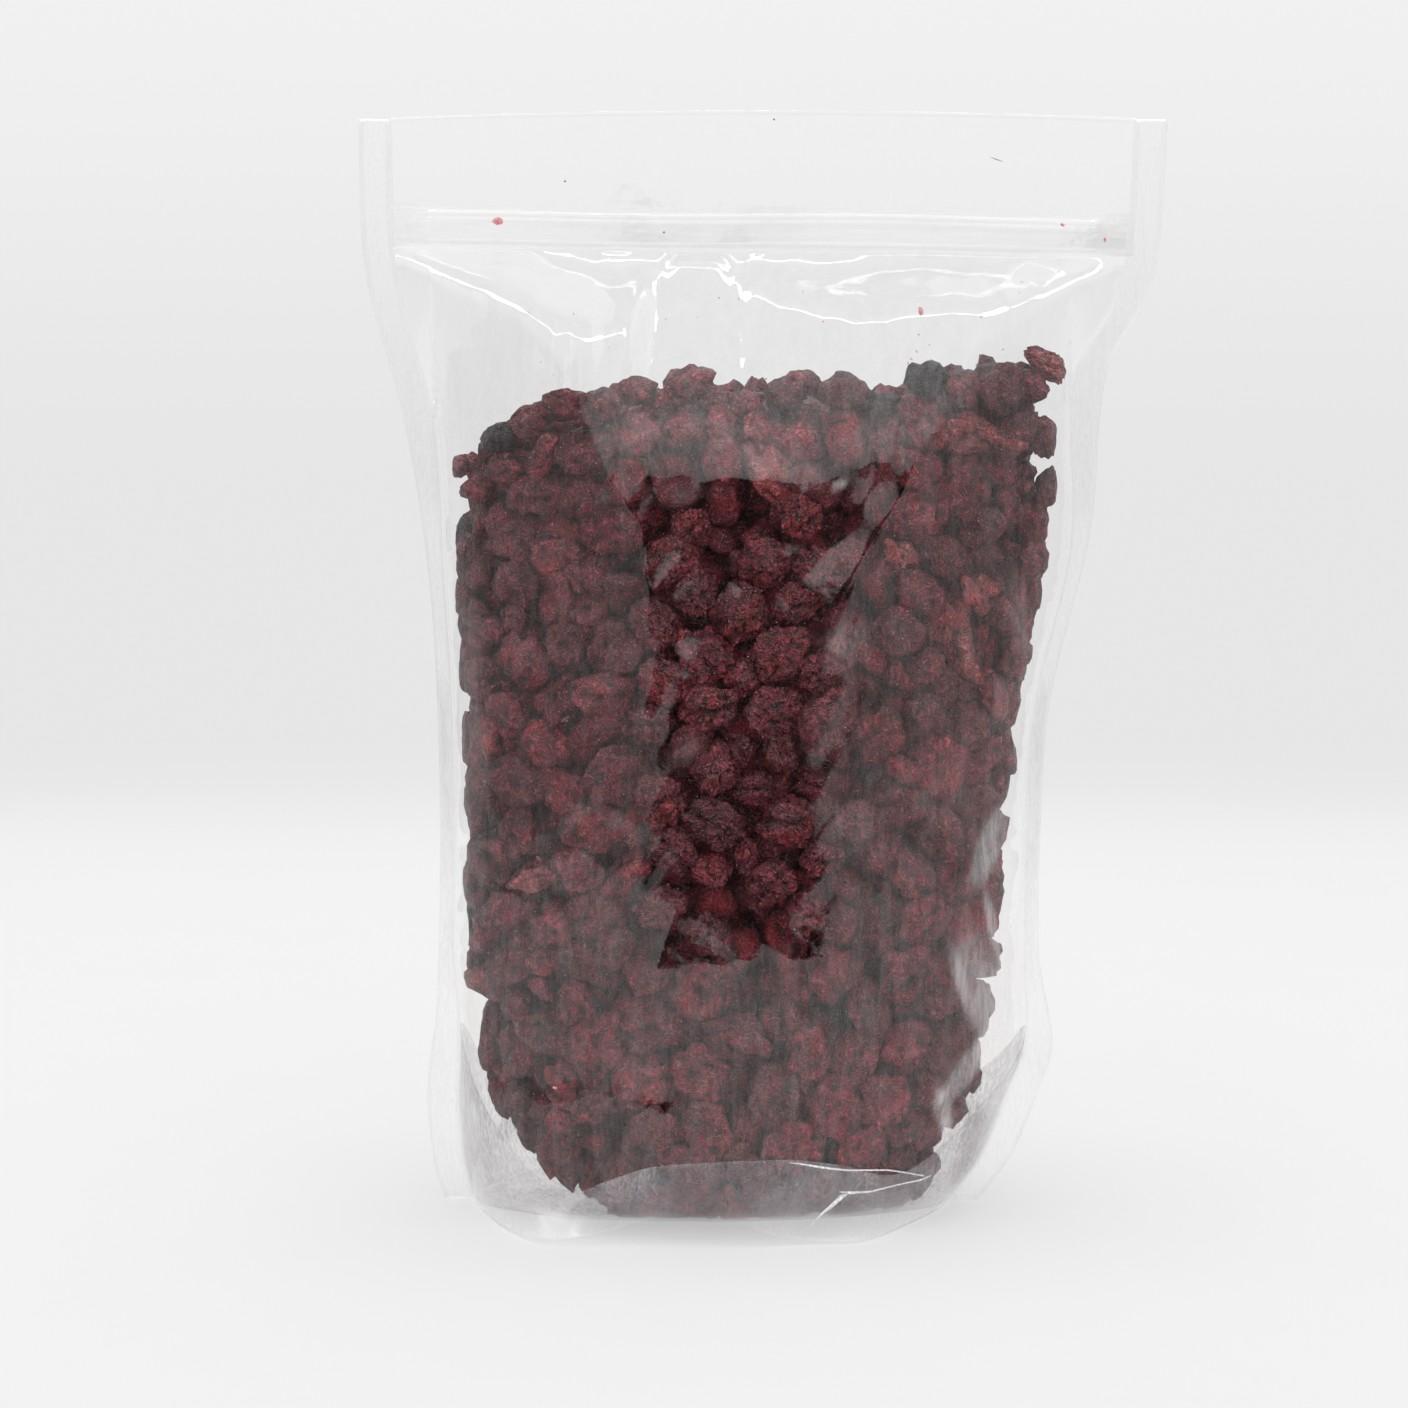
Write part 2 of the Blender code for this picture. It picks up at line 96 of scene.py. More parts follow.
# Above the fruit each panel leans in, and under the zip it turns in steeply along one line and less steeply
# again along another. Each line is given by place across, height and softness of the turn, in millimetres.
TURN_START = 0.198
TURN_LEAD = 0.006
TURN_SLOPE = 1.65
END_SLOPE = 0.45
LINES_APART = 0.0002
TURN_IN = (
    (-95, 242, 0.7), (-88, 240.3, 0.8), (-80, 237, 1.0), (-69, 233.5, 1.0), (-59, 229, 1.1),
    (-53, 225.3, 1.3), (-50, 223, 1.8), (-47.5, 223.8, 1.3), (-44, 222, 1.2), (-38, 223.3, 1.4),
    (-34, 224.4, 1.6), (-30.5, 229, 1.8), (-28, 234.5, 1.6), (-25, 238.2, 0.8), (-20, 239, 0.05),
    (-12, 239, 0.05), (-7, 237.7, 1.0), (-3.5, 234.3, 1.8), (4, 231.2, 1.5), (14, 228.8, 1.5),
    (24, 227.7, 1.7), (39, 228.2, 1.5), (46, 229, 1.2), (53, 228.1, 1.3), (60, 229, 1.8), (68, 231.5, 0.9),
    (76, 234.5, 0.8), (87, 238.5, 0.6), (95, 240, 0.5))
TURN_OUT = (
    (-95, 243.4, 0.1), (-58, 243, 0.1), (-53, 240.4, 0.9), (-47, 239.3, 1.3), (-41, 237.4, 1.7),
    (-38, 236.9, 2.6), (-35, 237.2, 2.4), (-32, 238.2, 1.6), (-26, 239.2, 1.2), (-20, 242.8, 0.05),
    (-12, 242.8, 0.05), (-6, 239, 1.2), (-2, 239.3, 1.5), (3, 238.3, 1.3), (8, 238.7, 1.3),
    (14, 237.4, 1.5), (27, 239, 1.2), (39, 240.1, 1.2), (50, 239.4, 1.2), (61, 239, 1.0), (66, 240.4, 0.2),
    (70, 239.8, 0.8), (78, 239.7, 0.9), (87, 239, 0.7), (95, 240, 0.4))
# Patches of painted reflection on the front panel, where the film is given more milky haze in place of the
# room
# it reflects: across, height, half width and half height in millimetres, lean in degrees, and how strong. The
# back panel has the same the other way round, less than half as strong.
BACK_VEIL_SHARE = 0.4
PAINTED_VEIL_PATCHES = (
    (-31, 199, 5, 8, 20, 0.06), (-9, 198, 13, 7, -10, 0.035), (6, 192, 12, 4, -12, 0.04),
    (27, 197, 5, 11, -12, 0.04), (-19.8, 185.5, 5, 3, 10, 0.09), (18.6, 187.4, 2.2, 1.2, 30, 0.25),
    (-18.6, 123, 5.5, 3, 40, 0.09), (20.1, 149.2, 5, 6.5, -25, 0.12), (16.2, 129.6, 6.5, 9.5, -20, 0.04),
    (21.1, 106, 8, 5, -10, 0.06), (-10.6, 76.8, 3.4, 4.6, 0, 0.06), (56.5, 96, 3.5, 10, -20, 0.27),
    (57.5, 76, 1.3, 9, 12, 0.33), (54.5, 62, 6, 14, 14, 0.25), (49.4, 64, 1.6, 10, 18, 0.16),
    (51.5, 41, 3, 11, -36, 0.36), (63.3, 154.8, 3.2, 13, 8, 0.09), (60, 130, 3, 9, 10, 0.06),
    (-71, 144, 3.5, 6.5, 0, 0.06), (-76, 118, 2.5, 8, 0, 0.06), (-73, 52, 3, 9, 20, 0.06),
    (45.5, 29.5, 1.9, 7, 12, 0.38), (50, 112, 9, 15, 0, 0.05), (59, 55, 4, 14, -12, 0.12))
# How the fruit and its weight move both panels, by height
FILLING = (
    (0.0, -0.0052), (0.016, -0.0052), (0.028, -0.0051), (0.032, -0.0049), (0.036, -0.0040),
    (0.040, -0.0029), (0.044, -0.0023), (0.048, -0.0019), (0.056, -0.0011), (0.064, -0.0004), (0.072, 0.0),
    (0.112, 0.0), (0.128, 0.0003), (0.144, 0.0010), (0.160, 0.0020), (0.176, 0.0020), (0.192, 0.0020),
    (0.206, 0.0014), (0.228, 0.0))


def along(stations, at):
    """Smooth curve through (place, value) stations, level beyond the ends."""
    place, value = np.array(stations).T
    rise = np.empty_like(value)
    rise[1:-1] = (value[2:] - value[:-2]) / (place[2:] - place[:-2])
    rise[0] = (value[1] - value[0]) / (place[1] - place[0])
    rise[-1] = (value[-1] - value[-2]) / (place[-1] - place[-2])
    at = np.clip(at, place[0], place[-1])
    i = np.clip(np.searchsorted(place, at, side="right") - 1, 0, len(place) - 2)
    span = place[i + 1] - place[i]
    t = (at - place[i]) / span
    return (value[i] * (2 * t**3 - 3 * t**2 + 1) + value[i + 1] * (3 * t**2 - 2 * t**3)
            + span * (rise[i] * (t**3 - 2 * t**2 + t) + rise[i + 1] * (t**3 - t**2)))


def ease(low, high, at):
    """Smooth step from 0 at low to 1 at high."""
    t = np.clip((at - low) / (high - low), 0.0, 1.0)
    return t * t * (3 - 2 * t)


def weld_span(z):
    """Middle and half width of the film between the inner edges of the side welds."""
    turned = WELD_TURN * ease(0.030, 0.070, z) * (1 - ease(0.150, 0.215, z))
    left = along(LEFT_EDGE, z) + WELD - turned
    right = along(RIGHT_EDGE, z) - WELD + turned
    return (left + right) / 2, (right - left) / 2


def bluntness(z):
    """Power of a section: an ellipse round the fruit, a lens at the zip and at the foot's corners."""
    return 0.5 + 0.45 * ease(0.190, 0.245, z) + 0.14 * (1 - ease(0.0, 0.060, z))


def solve_depth(z):
    """Half depth of the pouch at a height, from the width of film that a panel has."""
    half, power = weld_span(z)[1], bluntness(z)
    u = np.sin(np.pi * (np.arange(41) / 40 - 0.5))
    shape = np.maximum(1 - u * u, 0.0) ** power
    low, high = 0.0, FLAT_WIDTH / 3
    for _ in range(24):
        middle = (low + high) / 2
        if np.hypot(np.diff(half * u), np.diff(middle * shape)).sum() < PANEL:
            low = middle
        else:
            high = middle
    return min(low, MOST_DEPTH)


DEPTHS = tuple((n * 0.004, solve_depth(n * 0.004)) for n in range(70))


def zip_edge(x, side):
    """Height of the film's flat band at the zip, at its lower (side -1) or upper (side 1) edge."""
    return ZIP_HEIGHT + ZIP_SLOPE * x + side * (ZIP_TALL / 2 + ZIP_MARGIN)


def ramp(past, soft):
    """Nothing before a line and as much as the distance after it, with a soft corner."""
    return soft * np.logaddexp(0, past / soft)


def full_depth(x, z):
    """Distance of a panel from the middle plane where only the fruit shapes it."""
    centre, half = weld_span(z)
    u = np.clip((x - centre) / half, -1.0, 1.0)
    return along(DEPTHS, z) * (1 - u * u) ** bluntness(z)


def turn_line(stations, x, soften):
    """Height and softness, across a panel, of a line that it turns along."""
    place, height, soft = np.array(stations).T / 1000
    return np.interp(x, place, height), np.interp(x, place, soft) * soften


def film_depth(x, z):
    """Distance of a panel from the middle plane: above the fruit it leans in, more steeply near the zip."""
    low = zip_edge(x, -1)
    start = TURN_START - 0.013 * np.exp(-(((x + 0.002) / 0.042) ** 4)) + 0 * z
    deep = full_depth(x, start)
    lean = (full_depth(x, start - 0.001) - deep) / 0.001
    last, last_soft = turn_line(TURN_OUT, x, 1.3)
    last = np.minimum(last, low - LINES_APART)
    first, first_soft = turn_line(TURN_IN, x, 1.5)
    first = np.minimum(first, last - LINES_APART)
    before = deep - TURN_LEAD * lean - TURN_SLOPE * (last - first) - END_SLOPE * (low - last)
    before /= first - start - TURN_LEAD
    fall = (lean * (z - start) + (before - lean) * ramp(z - start - TURN_LEAD, 0.001)
            + (TURN_SLOPE - before) * ramp(z - first, first_soft)
            + (END_SLOPE - TURN_SLOPE) * ramp(z - last, last_soft))
    leaning = np.where(z < low, np.maximum(deep - fall, 0.0), 0.0)
    return np.where(z < start, full_depth(x, z), leaning)


def crease(x, z, points, rise, left, right, soft):
    """Height of one ridge of the film, with a narrow top, two flanks and ends that run out."""
    x, z = x * 1000, z * 1000
    nearest = np.full(x.shape, 1e9)
    height = np.zeros(x.shape)
    steps = [math.dist(a, b) for a, b in zip(points, points[1:])]
    gone = 0.0
    for (ax, az), (bx, bz), step in zip(points, points[1:], steps):
        t = np.clip(((x - ax) * (bx - ax) + (z - az) * (bz - az)) / step**2, 0, 1)
        dx, dz = x - ax - t * (bx - ax), z - az - t * (bz - az)
        away = np.hypot(dx, dz)
        width = np.where((bx - ax) * dz - (bz - az) * dx < 0, left, right)
        ends = np.sin(np.pi * np.clip((gone + t * step) / sum(steps), 0.0, 1.0)) ** 0.5
        flank = np.exp(-(np.sqrt(away**2 + soft**2) - soft) / width)
        height = np.where(away < nearest, rise * ends * flank, height)
        nearest = np.minimum(away, nearest)
        gone += step
    return height / 1000


def relief(face, x, z, depth):
    """All that a panel's surface adds to the smooth section: creases, the fruit's push and slight waves."""
    total = np.zeros(x.shape)
    for points, rise, left, right, soft in FRONT_CREASES if face < 0 else BACK_CREASES:
        total += crease(x, z, points, rise, left, right, soft)
    total += along(FILLING, z) * np.exp(-(((x - 0.002) / 0.047) ** 4))
    if face < 0:
        start = 0.1845 + 0.10 * x + 0.0012 * np.sin(x * 420 + 1) + 0.0006 * np.sin(x * 1100)
        dent = 0.05 * np.clip(z - start, 0, 0.022) * (1 - ease(0.216, 0.236, z))
        total -= dent * np.exp(-(((x - 0.001) / 0.018) ** 6))
    total += (0.00008 * np.sin(x * 520 + 40 * z + 2 * np.sin(z * 90))
              * np.sin(z * 470 - 60 * x + 2 * np.sin(x * 110)))
    total += 0.00013 * np.sin(x * 210 + z * 90 + 1) * np.sin(z * 240 - x * 70 + 2)
    return total * ease(0.0, 0.012, depth)


def panel_depth(face, x, z, share=1.0):
    """Distance of a panel from the middle plane, with all or a share of its relief."""
    smooth = film_depth(x, z)
    return smooth + relief(face, x, z, smooth) * share


def across(u, z):
    """Place across the pouch at a share u, from -1 to 1, of the film between its side welds."""
    centre, half = weld_span(z)
    return centre + half * u


def turn_start(x):
    """Level line across a panel above which it may turn in."""
    return np.full(x.shape, TURN_START)


def top_edge(x):
    """Height of the header's cut edge, a little lower at its ends."""
    return STANDING_HEIGHT - HEADER_ARCH * (x / (FLAT_WIDTH / 2)) ** 2


def panel(face, columns=230):
    """Grid of points of one panel from its bottom seal to the pouch's top edge, row by row."""
    share = np.arange(columns + 1) / columns
    u = 0.5 * np.sin(np.pi * (share - 0.5)) + 0.5 * (2 * share - 1)
    seal = along(FRONT_SEAL if face < 0 else BACK_SEAL, u)
    rows = [seal + (LEVEL_ROWS - seal) * part for part in np.linspace(0, 1, 26)[:-1]]
    rows += [np.full(u.shape, z) for z in np.linspace(LEVEL_ROWS, TURN_START, 92)[:-1]]
    grid = [(across(u, z), z) for z in rows]
    lines = (turn_start, lambda x: zip_edge(x, -1), lambda x: zip_edge(x, 1), top_edge)
    for low, high, count in zip(lines, lines[1:], (44, 6, 16)):
        for part in np.linspace(0, 1, count + 1)[0 if low is turn_start else 1:]:
            z = np.full(u.shape, TURN_START)
            for _ in range(8):
                x = across(u, z)
                z = low(x) + (high(x) - low(x)) * part
            grid.append((x, z))
    x, z = np.array(grid).transpose(1, 0, 2)
    depth = np.maximum(panel_depth(face, x, z), 0.0)
    above = np.clip((z - zip_edge(x, 1)) / (STANDING_HEIGHT - zip_edge(x, 1)), 0, 1)
    loose = (HEADER_WAVE * np.sin(x / 0.030) + 0.0003 * np.sin(x / 0.011 + z * 30)) * above
    return np.stack((x, face * (depth + GAP / 2) + loose, z), axis=-1)


FOOT_DEPTH = ((0.000, 0.50), (0.004, 0.74), (0.009, 0.87), (0.014, 0.93), (0.022, 0.97), (0.034, 1.0))


def foot_share(z):
    """How far the gusset reaches at a height, as a share of the panel's depth at its seal."""
    return np.minimum(along(FOOT_DEPTH, z) / along(FOOT_DEPTH, np.full(np.shape(z), 0.020)), 1.0)


def gusset(front_edge, back_edge):
    """Grid of the bottom film from the front seal, down under the fruit and up to the back seal."""
    shares = np.linspace(0, 1, 15)[1:] ** 0.8
    down = []
    for edge in (front_edge, back_edge):
        rows = []
        for share in shares:
            z = edge[:, 2] * (1 - share) + FLOOR_GAP * share
            y = edge[:, 1] * foot_share(z) / foot_share(edge[:, 2])
            (now, half), (before, width) = weld_span(z), weld_span(edge[:, 2])
            rows.append(np.stack((now + (edge[:, 0] - before) / width * half, y, z), axis=-1))
        down.append(rows)
    middle = [down[0][-1] * (1 - t) + down[1][-1] * t for t in np.linspace(0, 1, 12)[1:-1]]
    return down[0] + middle + down[1][::-1]


def bridge(bm, a, b):
    """Faces between two rows of vertices of the same length."""
    for k in range(len(a) - 1):
        bm.faces.new((a[k], a[k + 1], b[k + 1], b[k]))


def add_grid(bm, rows):
    """Rows of points as a sheet of faces, and the vertices it used."""
    verts = [[bm.verts.new(p) for p in row] for row in rows]
    for a, b in zip(verts, verts[1:]):
        bridge(bm, a, b)
    return verts


def finish_mesh(name, bm, material, smooth=True):
    """Object of the finished mesh, its faces outwards, in place at the origin."""
    bmesh.ops.remove_doubles(bm, verts=bm.verts, dist=1e-6)
    bmesh.ops.recalc_face_normals(bm, faces=bm.faces)
    for face in bm.faces:
        face.smooth = smooth
    mesh = bpy.data.meshes.new(name)
    bm.to_mesh(mesh)
    bm.free()
    mesh.materials.append(material)
    obj = bpy.data.objects.new(name, mesh)
    bpy.context.scene.collection.objects.link(obj)
    return obj


class Nodes:
    """Short hand for building the nodes of a material or of the room."""

    def __init__(self, owner, ending="OutputMaterial", space="Object"):
        owner.use_nodes = True
        self.owner, self.tree, self.ending = owner, owner.node_tree, ending
        self.tree.nodes.clear()
        self.place = self.make("TexCoord", {}, space)

    def make(self, kind, values, output=0, **settings):
        """One output of a new node, with numbers, colours or other outputs put in its inputs."""
        node = self.tree.nodes.new("ShaderNode" + kind)
        for key, value in settings.items():
            setattr(node, key, value)
        for key, value in values.items():
            socket = node.inputs[key]
            if isinstance(value, (int, float, tuple)):
                socket.default_value = (*value, 1.0) if socket.type == "RGBA" else value
            else:
                self.tree.links.new(value, socket)
        return node.outputs[output] if node.outputs else None

    def finish(self, shader):
        """The material or room, with a shader as its surface."""
        self.make(self.ending, {"Surface": shader})
        return self.owner

    def maths(self, operation, a, b=0.0, clamp=False):
        return self.make("Math", {0: a, 1: b}, operation=operation, use_clamp=clamp)

    def plus(self, a, b, clamp=False):
        return self.maths("ADD", a, b, clamp)

    def times(self, value, *others):
        for other in others:
            value = self.maths("MULTIPLY", value, other)
        return value

    def spread(self, value, low, high, to_low, to_high):
        """Smooth step from one value at low to another at high."""
        inputs = dict(enumerate((value, low, high, to_low, to_high)))
        return self.make("MapRange", inputs, interpolation_type="SMOOTHSTEP")

    def axis(self, name):
        return self.make("SeparateXYZ", {0: self.place}, name)

    def measure(self, name):
        """What the mesh holds under that name at each of its points."""
        return self.make("Attribute", {}, "Fac", attribute_name=name)

    def turned_away(self):
        """How far the surface is turned away from whoever looks at it."""
        return self.make("LayerWeight", {"Blend": 0.5}, "Facing")

    def grain(self, size, detail=3.0, stretch=(1, 1, 1), turn=(0, 0, 0), rough=0.55, twist=0.0):
        """Noise whose lumps are about that many metres across."""
        at = self.make("Mapping", {"Vector": self.place, "Scale": stretch, "Rotation": turn})
        return self.make("TexNoise", {"Vector": at, "Scale": 1 / size, "Detail": detail,
                                      "Roughness": rough, "Distortion": twist})

    def from_middle(self, noise):
        """Distance of a noise from its middle, so that it draws thin winding lines."""
        return self.maths("ABSOLUTE", self.maths("SUBTRACT", noise, 0.5))

    def bump(self, height, distance):
        return self.make("Bump", {"Distance": distance, "Height": height})

    def blend(self, share, a, b):
        """Mix of two colours."""
        return self.make("Mix", {0: share, 6: a, 7: b}, 2, data_type="RGBA")

    def mix(self, share, a, b):
        """Mix of two shaders."""
        return self.make("MixShader", {0: share, 1: a, 2: b})


def clear_film(name, haze, shine, rough, stain=0.0, cloud=(0.92, 0.92, 0.93)):
    """Clear glossy film: it shows what lies behind it, under a reflection and a thin streaky haze, and more
    haze as painted reflection where the mesh asks for it.
    """
    n = Nodes(bpy.data.materials.new(name))
    streaks = n.grain(0.0032, 4.0, (1, 1, 0.16), (0.0, 0.5, 0.0), 0.7, 0.6)
    scuffs = n.grain(0.0011, 3.0, (1, 1, 0.22), (0.0, -0.6, 0.0), 0.7, 1.5)
    wear = n.times(n.spread(streaks, 0.30, 0.72, 0.72, 1.30), n.spread(scuffs, 0.3, 0.7, 0.80, 1.20))
    edge_on = n.maths("POWER", n.turned_away(), 5.0)
    mirror = n.plus(n.times(wear, shine), n.times(edge_on, 1 - shine), clamp=True)
    clear = n.make("BsdfTransparent", {"Color": (1.0, 1.0, 1.0)})
    gloss = n.make("BsdfGlossy", {"Color": (1.0, 1.0, 1.0), "Roughness": rough,
                                  "Normal": n.bump(n.grain(0.006, 2.0), 0.00006)})
    stained = n.spread(n.axis("Z"), STAINED_TO, STAIN_GONE, stain, 0.0)
    # Painted reflection: where the mesh asks for it the film gets more milky haze, grey rather than stain
    # pink.
    veil_share = n.measure("reflection_veil")
    pink = n.times(stained, n.spread(veil_share, 0.04, 0.16, 1.0, 0.15))
    milk = n.make("BsdfDiffuse", {"Color": n.blend(pink, cloud, STAIN_PINK)})
    smears = n.spread(n.from_middle(n.grain(0.0034, 2.0, twist=1.6)), 0.0, 0.02, 0.06, 0.004)
    milky = n.times(n.spread(n.grain(0.022, 2.0), 0.35, 0.7, 0.5, 1.5), haze)
    milky = n.times(milky, n.spread(scuffs, 0.35, 0.75, 0.4, 1.8))
    milky = n.plus(milky, n.times(veil_share, n.spread(streaks, 0.3, 0.7, 0.55, 1.45)))
    milky = n.plus(milky, n.times(stained, smears))
    return n.finish(n.mix(mirror, n.mix(milky, clear, milk), gloss))


def points_of(mesh):
    """Places of a mesh's points, as rows of x, y and z."""
    co = np.empty(len(mesh.vertices) * 3, np.float32)
    mesh.vertices.foreach_get("co", co)
    return co.reshape(-1, 3).astype(float).T


def paint_veil(mesh):
    """Writes on the film how strong its painted reflection is at each point, as a share of milky haze."""
    x, y, z = points_of(mesh) * 1000
    x = np.where(y > 0, -x, x)
    reflection_veil = np.zeros(x.shape)
    for px, pz, wide, tall, lean, strength in PAINTED_VEIL_PATCHES:
        c, s = math.cos(math.radians(lean)), math.sin(math.radians(lean))
        a, b = ((x - px) * c + (z - pz) * s) / wide, ((z - pz) * c - (x - px) * s) / tall
        reflection_veil += np.where(y > 0, BACK_VEIL_SHARE, 1.0) * strength * np.exp(-(a * a + b * b) ** 2)
    mesh.attributes.new("reflection_veil", "FLOAT", "POINT").data.foreach_set("value", reflection_veil)


def lay_film(piece):
    """Makes a piece of film part of the pouch. So thin and clear a film throws no shadow."""
    piece.visible_shadow = False
    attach(piece, "root")
    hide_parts("pouch")


front, back = panel(-1), panel(1)
bm = bmesh.new()
near, far = add_grid(bm, front), add_grid(bm, back)
bridge(bm, near[-1], far[-1])
for side in (0, -1):
    bridge(bm, [row[side] for row in near], [row[side] for row in far])
film = finish_mesh("pouch_film", bm, clear_film("clear_film", 0.005, 0.068, 0.045, stain=1.0))
paint_veil(film.data)
lay_film(film)

# The gusset's film has a heavy haze in a dark purple-grey: painted reflection of the floor and painted shade
# from the pouch above, partly stain.
gusset_veil_and_shade = clear_film("gusset_film", 0.34, 0.055, 0.12, cloud=(0.36, 0.31, 0.34))
bm = bmesh.new()
add_grid(bm, [front[0], *gusset(front[0], back[0]), back[0]])
lay_film(finish_mesh("gusset_film", bm, gusset_veil_and_shade))

# THE SIDE WELDS
# Down each side the two panels and the gusset are welded into one flat strip, 8 mm wide. The hot bar leaves
# it a little hazier than the film, and its cut edge catches the light.
LOOSE_FROM = 0.252                # above this the header waves a little
weld_finish = clear_film("welded_film", 0.03, 0.08, 0.28)


def closed_strip(name, rows, face, material):
    """Thin closed strip about a sheet of points, as two layers joined all round their edges."""
    bm = bmesh.new()
    sheets = []
    for out in (face, -face):
        sheets.append(add_grid(bm, [np.stack((x, y + out * GAP / 2, z), axis=-1) for x, y, z in rows]))
    for k in (0, -1):
        bridge(bm, sheets[0][k], sheets[1][k])
        bridge(bm, [row[k] for row in sheets[0]], [row[k] for row in sheets[1]])
    return finish_mesh(name, bm, material)


def side_weld(name, side, edge):
    """Strip from the inner edge of the weld to the film's cut edge."""
    z = np.linspace(0.0003, STANDING_HEIGHT - HEADER_ARCH, 210)
    outer = along(edge, z)
    centre, half = weld_span(z)
    inner = centre + side * (half + 0.0001)
    sway = 0.0009 * np.sin(z / 0.021) * ease(0.052, 0.085, z) * (1 - ease(0.150, 0.190, z))
    sway += 0.0004 * np.sin(z / 0.006) * (1 - ease(0.05, 0.07, z))
    above = np.clip((z - LOOSE_FROM) / (STANDING_HEIGHT - LOOSE_FROM), 0, 1)
    loose = HEADER_WAVE * np.sin(outer / 0.030) * above
    rows = [(inner + (outer - inner) * share, sway * share + loose, z) for share in np.linspace(0, 1, 6)]
    return closed_strip(name, rows, -1, weld_finish)


lay_film(side_weld("left_weld", -1, LEFT_EDGE))
lay_film(side_weld("right_weld", 1, RIGHT_EDGE))

# THE WELDED LOWER EDGES
# Each panel is welded to its half of the gusset along a curved seal, and the lip below the seal is what the
# pouch stands on. It splays out at the corners, and lifts and tucks in at the middle.
SKIRT_LIFT = 0.0070
SKIRT_TUCK = 0.0045
LEFT_SPLAY = 0.0125
RIGHT_SPLAY = 0.0065
seal_finish = clear_film("sealed_film", 0.05, 0.018, 0.32)


def lip_shape(face, place):
    """Height of the lip's lower edge, how far that edge stands out, and height of its seal."""
    wave = np.exp(-(((place - 0.10 * face) / 0.34) ** 2))
    splay = (LEFT_SPLAY * np.exp(-(((place + 0.75) / 0.28) ** 2))
             + RIGHT_SPLAY * np.exp(-(((place - 0.64) / 0.17) ** 2))) * (1 - place**8)
    proud = splay * (1.0 if face < 0 else 0.5) - SKIRT_TUCK * wave
    return SKIRT_LIFT * wave + 0.0003, proud, along(FRONT_SEAL if face < 0 else BACK_SEAL, place)


def lip_depth(face, x, z, proud, level):
    """Distance of the lip from the middle plane, at a level from 0 at its lower edge to 1 at its seal."""
    return panel_depth(face, x, z, level) + proud * (1 - level) ** 1.5


def skirt(name, face, columns=150, levels=16):
    """Closed thin lip of one panel, from its seal to its lower edge."""
    place = np.sin(np.pi * (np.arange(columns + 1) / columns - 0.5))
    lift, proud, seal = lip_shape(face, place)
    rows = []
    for level in np.linspace(0, 1, levels + 1):
        z = lift + (seal - lift) * level
        x = across(place, z)
        pucker = 0.0004 * np.sin(place * 46 + level * 3) * (1 - level) * level * 4 * (1 - place**2)
        rows.append((x, face * (lip_depth(face, x, z, proud, level) + pucker), z))
    return closed_strip(name, rows, face, seal_finish)


lay_film(skirt("front_skirt", -1))
lay_film(skirt("back_skirt", 1))

# THE PLEATS OF THE RIGHT FOOT
# Where the weight folds the film over at the right foot, three narrow pleats of the same film stand out from
# the seal, each a flat tuck less than two millimetres wide. Their film is milky white, partly from the
# whitening of film bent hard and partly as a painted highlight. Each is given along its line by place across,
# height and width in millimetres.
SEAL_PLEAT = ((6.7, 20.5, 0.05), (9.4, 20.2, 0.5), (15, 19, 0.6), (21.8, 17.5, 0.5), (31.8, 16.4, 0.45),
              (41, 13.4, 0.4))
LOWER_PLEAT = ((42.5, 13.2, 0.3), (40, 12.6, 0.5), (34.4, 12.2, 0.35), (26.8, 11.6, 0.45), (22, 12.2, 0.8),
               (19.4, 12.4, 0.1))
SLANTING_PLEAT = ((22, 12, 0.2), (19.6, 11.6, 1.8), (17.5, 9.8, 1.5), (15.6, 8.2, 0.9), (12.7, 5.3, 0.4),
                  (11.5, 4.3, 0.1))
PLEAT_THICK = 0.00008
PLEAT_PROUD = 0.0006
# Milky white film for the pleats: stress whitening, and a painted highlight along them.
whitening_and_highlight = clear_film("pleat_whitening_and_highlight_film", 0.8, 0.10, 0.12)


def close_rings(bm, rings):
    """Faces round a row of closed rings of vertices, and over both its ends."""
    for a, b in zip(rings, rings[1:]):
        bridge(bm, [*a, a[0]], [*b, b[0]])
    bm.faces.new(rings[0])
    bm.faces.new(rings[-1])


def pleat(name, points):
    """Closed thin tuck along a line, as a ledge that drops forward at 45 degrees."""
    line, height, width = np.array(points).T / 1000
    share = np.linspace(0, 1, 25)
    x, z, wide = (np.interp(share, np.linspace(0, 1, len(line)), v) for v in (line, height, width))
    centre, half = weld_span(z)
    lift, proud, seal = lip_shape(-1, (x - centre) / half)
    level = np.clip((z - lift) / (seal - lift), 0, 1)
    out = lip_depth(-1, x, z, proud, level) + PLEAT_PROUD + 0.0001 * np.sin(share * 17)
    sides = []
    for thick, drop in ((0.0, 0.0), (0.0, 1.0), (PLEAT_THICK, 1.0), (PLEAT_THICK, 0.0)):
        sides.append(np.stack((x, thick - out - 0.73 * wide * drop, z - 0.68 * wide * drop - thick), axis=-1))
    bm = bmesh.new()
    close_rings(bm, [[bm.verts.new(p) for p in ring] for ring in zip(*sides)])
    return finish_mesh(name, bm, whitening_and_highlight)


lay_film(pleat("seal_pleat", SEAL_PLEAT))
lay_film(pleat("lower_pleat", LOWER_PLEAT))
lay_film(pleat("slanting_pleat", SLANTING_PLEAT))

# THE ZIP
# A press-to-close zip runs across the pouch under the header: one ribbed strip of milky soft plastic on each
# panel, crushed flat at both ends where the side welds catch it.
ZIP_RIB = 0.0011
ZIP_PROFILE = (
    (-0.50, 0.05), (-0.47, 0.30), (-0.42, 0.44), (-0.40, 0.43), (-0.373, 0.232), (-0.33, 0.14),
    (-0.20, 0.12), (-0.02, 0.10), (0.08, 0.14), (0.12, 0.50), (0.16, 0.66), (0.175, 0.64), (0.205, 0.42),
    (0.24, 0.22), (0.27, 0.30), (0.29, 0.95), (0.325, 1.10), (0.335, 1.09), (0.388, 0.70), (0.43, 0.25),
    (0.46, 0.16), (0.50, 0.05))


